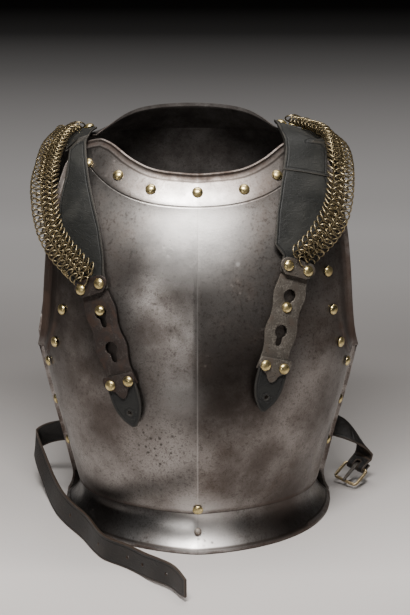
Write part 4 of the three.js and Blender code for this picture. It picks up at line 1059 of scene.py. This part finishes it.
@dataclass
class Plates:
    """Breastplate with its riveted waist flange, and backplate."""

    ridge_hold: float = 1.0
    flange_hold: float = 0.2
    ridge_half: float = 0.0004
    ridge_front: float = -0.03

    def build(self) -> None:
        """Builds and dresses the three plates."""
        steel = PlateSteel().build()
        # The flange gets a darker copy of the plate steel: painted shade.
        dark = PlateSteel((0.44, 0.435, 0.43), (0.10, 0.09, 0.083), name="flange steel").build()
        how = Dressing(edge=0.0004)
        dressed("breastplate", steel, how, prepare=partial(self.hold_ridge, hold=self.ridge_hold))
        dressed("waist_flange", dark, how, prepare=partial(self.hold_ridge, hold=self.flange_hold))
        dressed("backplate", steel, how)

    def hold_ridge(self, piece: bpy.types.Object, hold: float) -> None:
        """Keeps the ridge down the front crisp when the plate is rounded.

        Args:
            piece: The plate before it is rounded.
            hold: How crisp the ridge stays, from 0 to 1.
        """
        middle = ROW_SHIFT.x

        def on_ridge(a: Vector, b: Vector) -> bool:
            """Tells if an edge lies along the ridge.

            Args:
                a: One end of the edge.
                b: Its other end.

            Returns:
                True for an edge of the ridge.
            """
            aside = max(abs(a.x - middle), abs(b.x - middle))
            return aside < self.ridge_half and max(a.y, b.y) < self.ridge_front

        select_edges(piece, on_ridge)
        bpy.ops.transform.edge_crease(value=hold)
        leave_edit()


@dataclass
class Rivets:
    """All domed rivets and studs, turned once and set on each seat."""

    ring_steps: int = 28
    profile_steps: int = 7
    base_bevel: float = 0.06
    edge_angle: float = 50.0

    def build(self) -> None:
        """Sets a dome for each rivet of the solids."""
        brass = CastBrass(bright=(0.74, 0.61, 0.30), dull=(0.34, 0.26, 0.12)).build()
        steel = ForgedIron(
            "small rivet steel", skin=(0.30, 0.27, 0.24), worn=(0.50, 0.47, 0.44), pitting=0.3
        ).build()
        finishes = {"rivet_brass": brass, "small_rivet_steel": steel}
        pattern = self.turn_dome()
        for node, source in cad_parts.items():
            slot = source.data.materials[0].name
            if slot in finishes:
                self.set_dome(node, pattern, finishes[slot])
        bpy.data.objects.remove(pattern)

    def turn_dome(self) -> bpy.types.Object:
        """Turns a dome of radius one and height one, on its flat base at the origin.

        Returns:
            The pattern piece.
        """
        clear_selection()
        rings = 2 * self.profile_steps
        bpy.ops.mesh.primitive_uv_sphere_add(segments=self.ring_steps, ring_count=rings, radius=1.0)
        dome = bpy.context.object
        dome.name = "dome_pattern"
        edit(dome)
        flat = {"plane_co": (0.0, 0.0, 0.0), "plane_no": (0.0, 0.0, 1.0)}
        bpy.ops.mesh.bisect(**flat, use_fill=True, clear_inner=True)
        leave_edit()
        soften(dome, self.base_bevel, self.edge_angle)
        smooth(dome, self.edge_angle)
        return dome

    def set_dome(
        self, node: str, pattern: bpy.types.Object, finish: bpy.types.Material
    ) -> None:
        """Sets one dome on its seat.

        Args:
            node: The solid it stands for.
            pattern: The dome to copy.
            finish: Its material.
        """
        base, axis, radius, height = seat_of(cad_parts[node].data)
        turn = axis.to_track_quat("Z", "Y").to_matrix().to_4x4()
        spread = Matrix.Diagonal((radius, radius, height, 1.0))
        piece = copied(pattern.data, "shown_" + node)
        piece.data.transform(Matrix.Translation(base) @ turn @ spread)
        coat(piece, finish)
        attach(piece, "cuirass")
        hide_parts(node)


def seat_of(mesh: bpy.types.Mesh) -> tuple[Vector, Vector, float, float]:
    """Finds the flat base of a domed solid.

    Args:
        mesh: The solid's mesh.

    Returns:
        The base's middle, the direction the dome points, its radius and its height.
    """
    groups: dict[tuple, list] = {}
    for face in mesh.polygons:
        key = tuple(round(part, 1) for part in face.normal)
        groups.setdefault(key, []).append(face)
    flat = max(groups.values(), key=lambda faces: sum(face.area for face in faces))
    axis = -sum((face.normal * face.area for face in flat), Vector()).normalized()
    total = sum(face.area for face in flat)
    base = sum((face.center * face.area for face in flat), Vector()) / total
    spots = [point.co for point in mesh.vertices]
    height = max((spot - base).dot(axis) for spot in spots)
    radius = max(((spot - base) - axis * (spot - base).dot(axis)).length for spot in spots)
    return base, axis, radius, height


@dataclass(frozen=True)
class MailRow:
    """One row of rings across a chain."""

    middle: Vector
    across: Vector
    along: Vector
    out: Vector


@dataclass
class MailStrap:
    """Linked mail over one shoulder, two rings wide, each ring through four others."""

    side: Side
    route: Sequence[tuple]
    seed: int
    wire: float = 0.0018
    ring: float = 0.0071
    pitch: float = 0.00345
    spacing: float = 0.0163
    lean: float = 43.0
    lift: float = 0.0004
    slide: float = 0.25
    tuck: float = 0.003
    tuck_rows: int = 16
    row_shift: float = 0.25
    row_places: tuple = (-0.5, 0.5)
    lean_slack: float = 3.0
    skew_slack: float = 4.0
    route_steps: int = 24
    route_end: float = 0.9999
    ring_steps: int = 14
    wire_steps: int = 5

    def build(self, finish: bpy.types.Material) -> None:
        """Links all rings of the strap into one piece.

        Args:
            finish: The wire's material.
        """
        rows = self.rows()
        pattern = self.bend_ring()
        rings = []
        chance = random.Random(self.seed)
        for number, row in enumerate(rows):
            turn = 1 if number % 2 else -1
            shift = turn * self.row_shift - self.slide * math.sin(math.pi * number / len(rows))
            for place in self.row_places:
                rings.append(self.set_ring(pattern, row, shift + place, turn * self.lean, chance))
        take(*rings)
        bpy.ops.object.join()
        mail = bpy.context.object
        mail.name = f"{self.side.value}_mail"
        coat(mail, finish)
        bpy.data.objects.remove(pattern)
        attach(mail, "cuirass")
        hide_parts(f"{self.side.value}_chain_band")
        LOG.info("%s: %d rings, %d faces", mail.name, len(rings), len(mail.data.polygons))

    def bend_ring(self) -> bpy.types.Object:
        """Bends one ring of wire at the origin, flat on its back.

        Returns:
            The pattern piece.
        """
        clear_selection()
        bpy.ops.mesh.primitive_torus_add(
            major_segments=self.ring_steps,
            minor_segments=self.wire_steps,
            major_radius=self.ring,
            minor_radius=self.wire / 2,
        )
        ring = bpy.context.object
        bpy.ops.object.shade_smooth()
        return ring

    def set_ring(
        self, pattern: bpy.types.Object, row: MailRow, place: float, lean: float, chance: random.Random
    ) -> bpy.types.Object:
        """Hangs one ring in its row.

        Args:
            pattern: The ring to copy.
            row: The row it belongs to.
            place: Its place across the row, in ring spacings.
            lean: How far it leans out of the band, in degrees.
            chance: Small differences from ring to ring.

        Returns:
            The ring.
        """
        turn = math.radians(lean + chance.uniform(-self.lean_slack, self.lean_slack))
        reach = row.along * math.cos(turn) + row.out * math.sin(turn)
        axis = row.across.cross(reach).normalized()
        slack = math.radians(chance.uniform(-self.skew_slack, self.skew_slack))
        skew = Matrix.Rotation(slack, 3, row.out)
        matrix = (skew @ Matrix((row.across, reach, axis)).transposed()).to_4x4()
        matrix.translation = row.middle + row.across * (place * self.spacing)
        ring = copied(pattern.data, "ring")
        ring.data.transform(matrix)
        return ring

    def rows(self) -> list[MailRow]:
        """Places the rows of rings along the route.

        Returns:
            The rows from the clip to the backplate.
        """
        points = [self.foot()] + [placed(*spot[:3]) for spot in self.route]
        acrosses = [Vector(spot[3:]).normalized() for spot in (self.route[0], *self.route)]
        path, sides = smooth_route(points, acrosses, self.route_steps)
        lengths = [0.0]
        for a, b in zip(path, path[1:]):
            lengths.append(lengths[-1] + (b - a).length)
        count = int(lengths[-1] / self.pitch)
        rows = []
        for number in range(count + 1):
            at = min(number * self.pitch, lengths[-1] * self.route_end)
            step = next(i for i in range(1, len(lengths)) if lengths[i] >= at)
            share = (at - lengths[step - 1]) / (lengths[step] - lengths[step - 1])
            middle = path[step - 1].lerp(path[step], share)
            along = (path[step] - path[step - 1]).normalized()
            side = sides[step - 1].lerp(sides[step], share)
            across = (side - along * side.dot(along)).normalized()
            out = along.cross(across)
            if out.dot(middle - TORSO_MIDDLE) < 0:
                out.negate()
            tuck = self.tuck * max(0.0, 1.0 - (count - number) / self.tuck_rows)
            rows.append(MailRow(middle + out * (self.lift - tuck), across, along, out))
        return rows

    def foot(self) -> Vector:
        """Finds where the mail meets its clip.

        Returns:
            The middle of the solid band's end.
        """
        low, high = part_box(f"{self.side.value}_clip")
        clip = (low + high) / 2
        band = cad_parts[f"{self.side.value}_chain_band"].data
        spots = {tuple(round(part, 5) for part in point.co) for point in band.vertices}
        nearest = sorted((Vector(spot) for spot in spots), key=lambda spot: (spot - clip).length)
        corners = nearest[:4]
        return sum(corners, Vector()) / len(corners)


def smooth_route(
    points: list[Vector], sides: list[Vector], steps: int
) -> tuple[list[Vector], list[Vector]]:
    """Runs a smooth line through points, with a direction across it at each.

    Args:
        points: The points of the route.
        sides: The direction across at each point.
        steps: How many short steps join two points.

    Returns:
        The fine points and the directions across them.
    """
    path, across = [], []
    last = len(points) - 1
    for number in range(last):
        before = points[max(0, number - 1)]
        start, end = points[number], points[number + 1]
        after = points[min(last, number + 2)]
        for step in range(steps):
            t = step / steps
            spot = 0.5 * (
                2 * start
                + (end - before) * t
                + (2 * before - 5 * start + 4 * end - after) * t * t
                + (3 * start - before - 3 * end + after) * t ** 3
            )
            path.append(spot)
            across.append(sides[number].lerp(sides[number + 1], t))
    path.append(points[last])
    across.append(sides[last])
    return path, across


@dataclass
class ShoulderStraps:
    """Leather, iron fittings and mail of both shoulder straps."""

    right_route: Sequence[tuple] = (
        (-149, -110, 335, -0.78, 0.60, -0.17),
        (-164, -92, 358, -0.72, 0.66, -0.20),
        (-171, -62, 390, -0.77, 0.55, -0.32),
        (-169, -30, 411, -0.76, 0.10, -0.64),
        (-161, 4, 431, -0.82, 0.0, -0.57),
        (-149, 30, 440, -0.93, 0.0, -0.36),
        (-146, 39, 440, -0.94, 0.0, -0.34),
    )
    left_route: Sequence[tuple] = (
        (135, -121, 354, 0.80, 0.56, -0.20),
        (152, -102, 378, 0.74, 0.62, -0.25),
        (158, -73.6, 413.4, 0.72, 0.50, -0.48),
        (154.5, -32, 435, 0.72, 0.10, -0.69),
        (136.7, 4, 442.5, 0.82, 0.0, -0.57),
        (121, 30, 447, 0.93, 0.0, -0.36),
        (117, 39, 448, 0.94, 0.0, -0.34),
    )
    flap_low: tuple = ((0.112, -0.012, 0.415), (0.0, 0.55, 0.83))
    flap_high: tuple = ((0.112, 0.072, 0.445), (0.0, -1.0, -0.2))
    flap_wall: float = 0.0016

    def build(self) -> None:
        """Builds both straps."""
        hide = Hide(
            "strap leather", (0.0115, 0.0122, 0.0112), (0.032, 0.032, 0.029), (0.06, 0.052, 0.042)
        ).build()
        # The pull tabs get a darker copy of the strap leather: painted shade.
        shaded_tab = Hide(
            "tab leather", (0.006, 0.0062, 0.006), (0.014, 0.0145, 0.013), (0.035, 0.031, 0.026), 0.55
        ).build()
        brown = ForgedIron(
            "dark iron", (0.050, 0.040, 0.036), (0.12, 0.102, 0.092), (0.085, 0.052, 0.038)
        ).build()
        grey = ForgedIron(
            "pitted iron", (0.125, 0.11, 0.094), (0.33, 0.30, 0.26), (0.13, 0.10, 0.08), pitting=0.95
        ).build()
        wire = CastBrass(
            bright=(0.40, 0.325, 0.19), dull=(0.075, 0.064, 0.044), polish=0.30, name="mail wire"
        ).build()
        for side, iron in ((Side.RIGHT, brown), (Side.LEFT, grey)):
            name = side.value
            dressed(f"{name}_shoulder_leather", hide, Dressing(edge=0.0006, levels=3))
            dressed(f"{name}_pull_tab", shaded_tab, Dressing(edge=0.0005, levels=1, quads=False))
            dressed(f"{name}_keyhole_plate", iron, Dressing(edge=0.0004, levels=0))
            dressed(f"{name}_clip", iron, Dressing(edge=0.0005, levels=1))
            dressed(f"{name}_end_cap", iron, Dressing(edge=0.0004, levels=0))
        self.lay_flap(hide)
        MailStrap(Side.RIGHT, self.right_route, seed=7).build(wire)
        MailStrap(Side.LEFT, self.left_route, seed=11).build(wire)

    def lay_flap(self, hide: bpy.types.Material) -> None:
        """Lays the short second layer over the top of the wearer's left leather.

        Args:
            hide: Its leather.
        """
        how = Dressing(edge=0.0005, levels=3, smooth=60.0)
        flap = copied(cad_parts["left_shoulder_leather"].data, "left_leather_flap")
        merge(flap, how.quads)
        for point, way in (self.flap_low, self.flap_high):
            bpy.ops.mesh.select_all(action="SELECT")
            bpy.ops.mesh.bisect(plane_co=point, plane_no=way, use_fill=True, clear_inner=True)
        bpy.ops.mesh.select_all(action="SELECT")
        bpy.ops.mesh.normals_make_consistent(inside=False)
        bpy.ops.transform.shrink_fatten(value=self.flap_wall)
        rounded(flap, sharp_lines(flap, how.sharp), how, hide)
        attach(flap, "cuirass")
        LOG.info("%s: %d faces", flap.name, len(flap.data.polygons))


@dataclass
class WaistBelt:
    """Both halves of the open waist belt, with the buckle."""

    hole: float = 0.0019
    drill: float = 0.016
    drill_sides: int = 20
    holes: Sequence[tuple] = (
        (-146, -96.5, 13.5, 0.868, 0.496),
        (-109, -169.5, 13.7, 0.874, 0.486),
        (-75, -201, 13.9, 0.66, 0.75),
        (-58, -220.5, 14.7, 0.77, 0.64),
        (-32, -248, 18.0, 0.67, 0.74),
    )

    def build(self) -> None:
        """Builds the belts and the buckle."""
        belt = Hide(
            "belt leather", (0.009, 0.0078, 0.007), (0.024, 0.019, 0.016), (0.075, 0.05, 0.034), 0.40
        ).build()
        brass = CastBrass(
            bright=(0.50, 0.40, 0.24), dull=(0.18, 0.13, 0.07), polish=0.30, name="buckle brass"
        ).build()
        iron = ForgedIron("buckle iron", skin=(0.10, 0.09, 0.08), worn=(0.24, 0.22, 0.20)).build()
        strap_dressing = Dressing(edge=0.0005)
        metal_dressing = Dressing(edge=0.0003, levels=1)
        self.punch(dressed("long_belt", belt, strap_dressing))
        dressed("short_belt", belt, strap_dressing)
        dressed("buckle_frame", brass, metal_dressing, "buckle")
        dressed("buckle_tongue", iron, metal_dressing, "tongue")

    def punch(self, belt: bpy.types.Object) -> None:
        """Punches the row of holes through the long belt.

        Args:
            belt: The finished long belt.
        """
        for x, y, z, across, ahead in self.holes:
            clear_selection()
            way = Vector((across, ahead, 0.0)).normalized()
            bpy.ops.mesh.primitive_cylinder_add(
                vertices=self.drill_sides,
                radius=self.hole,
                depth=self.drill,
                location=placed(x, y, z),
                rotation=way.to_track_quat("Z", "Y").to_euler(),
            )
            bpy.ops.object.transform_apply(location=True, rotation=True, scale=True)
            drill = bpy.context.object
            modify(belt, "BOOLEAN", {"object": drill, "operation": "DIFFERENCE", "solver": "EXACT"})
            bpy.data.objects.remove(drill)


def main() -> None:
    """Builds the studio and each sub-assembly in order."""
    logging.basicConfig(level=logging.INFO, format="%(name)s: %(message)s")
    clear_selection()
    Studio().build()
    for part in (Plates(), Rivets(), ShoulderStraps(), WaistBelt()):
        LOG.info("building %s", type(part).__name__)
        part.build()


if __name__ == "__main__":
    main()
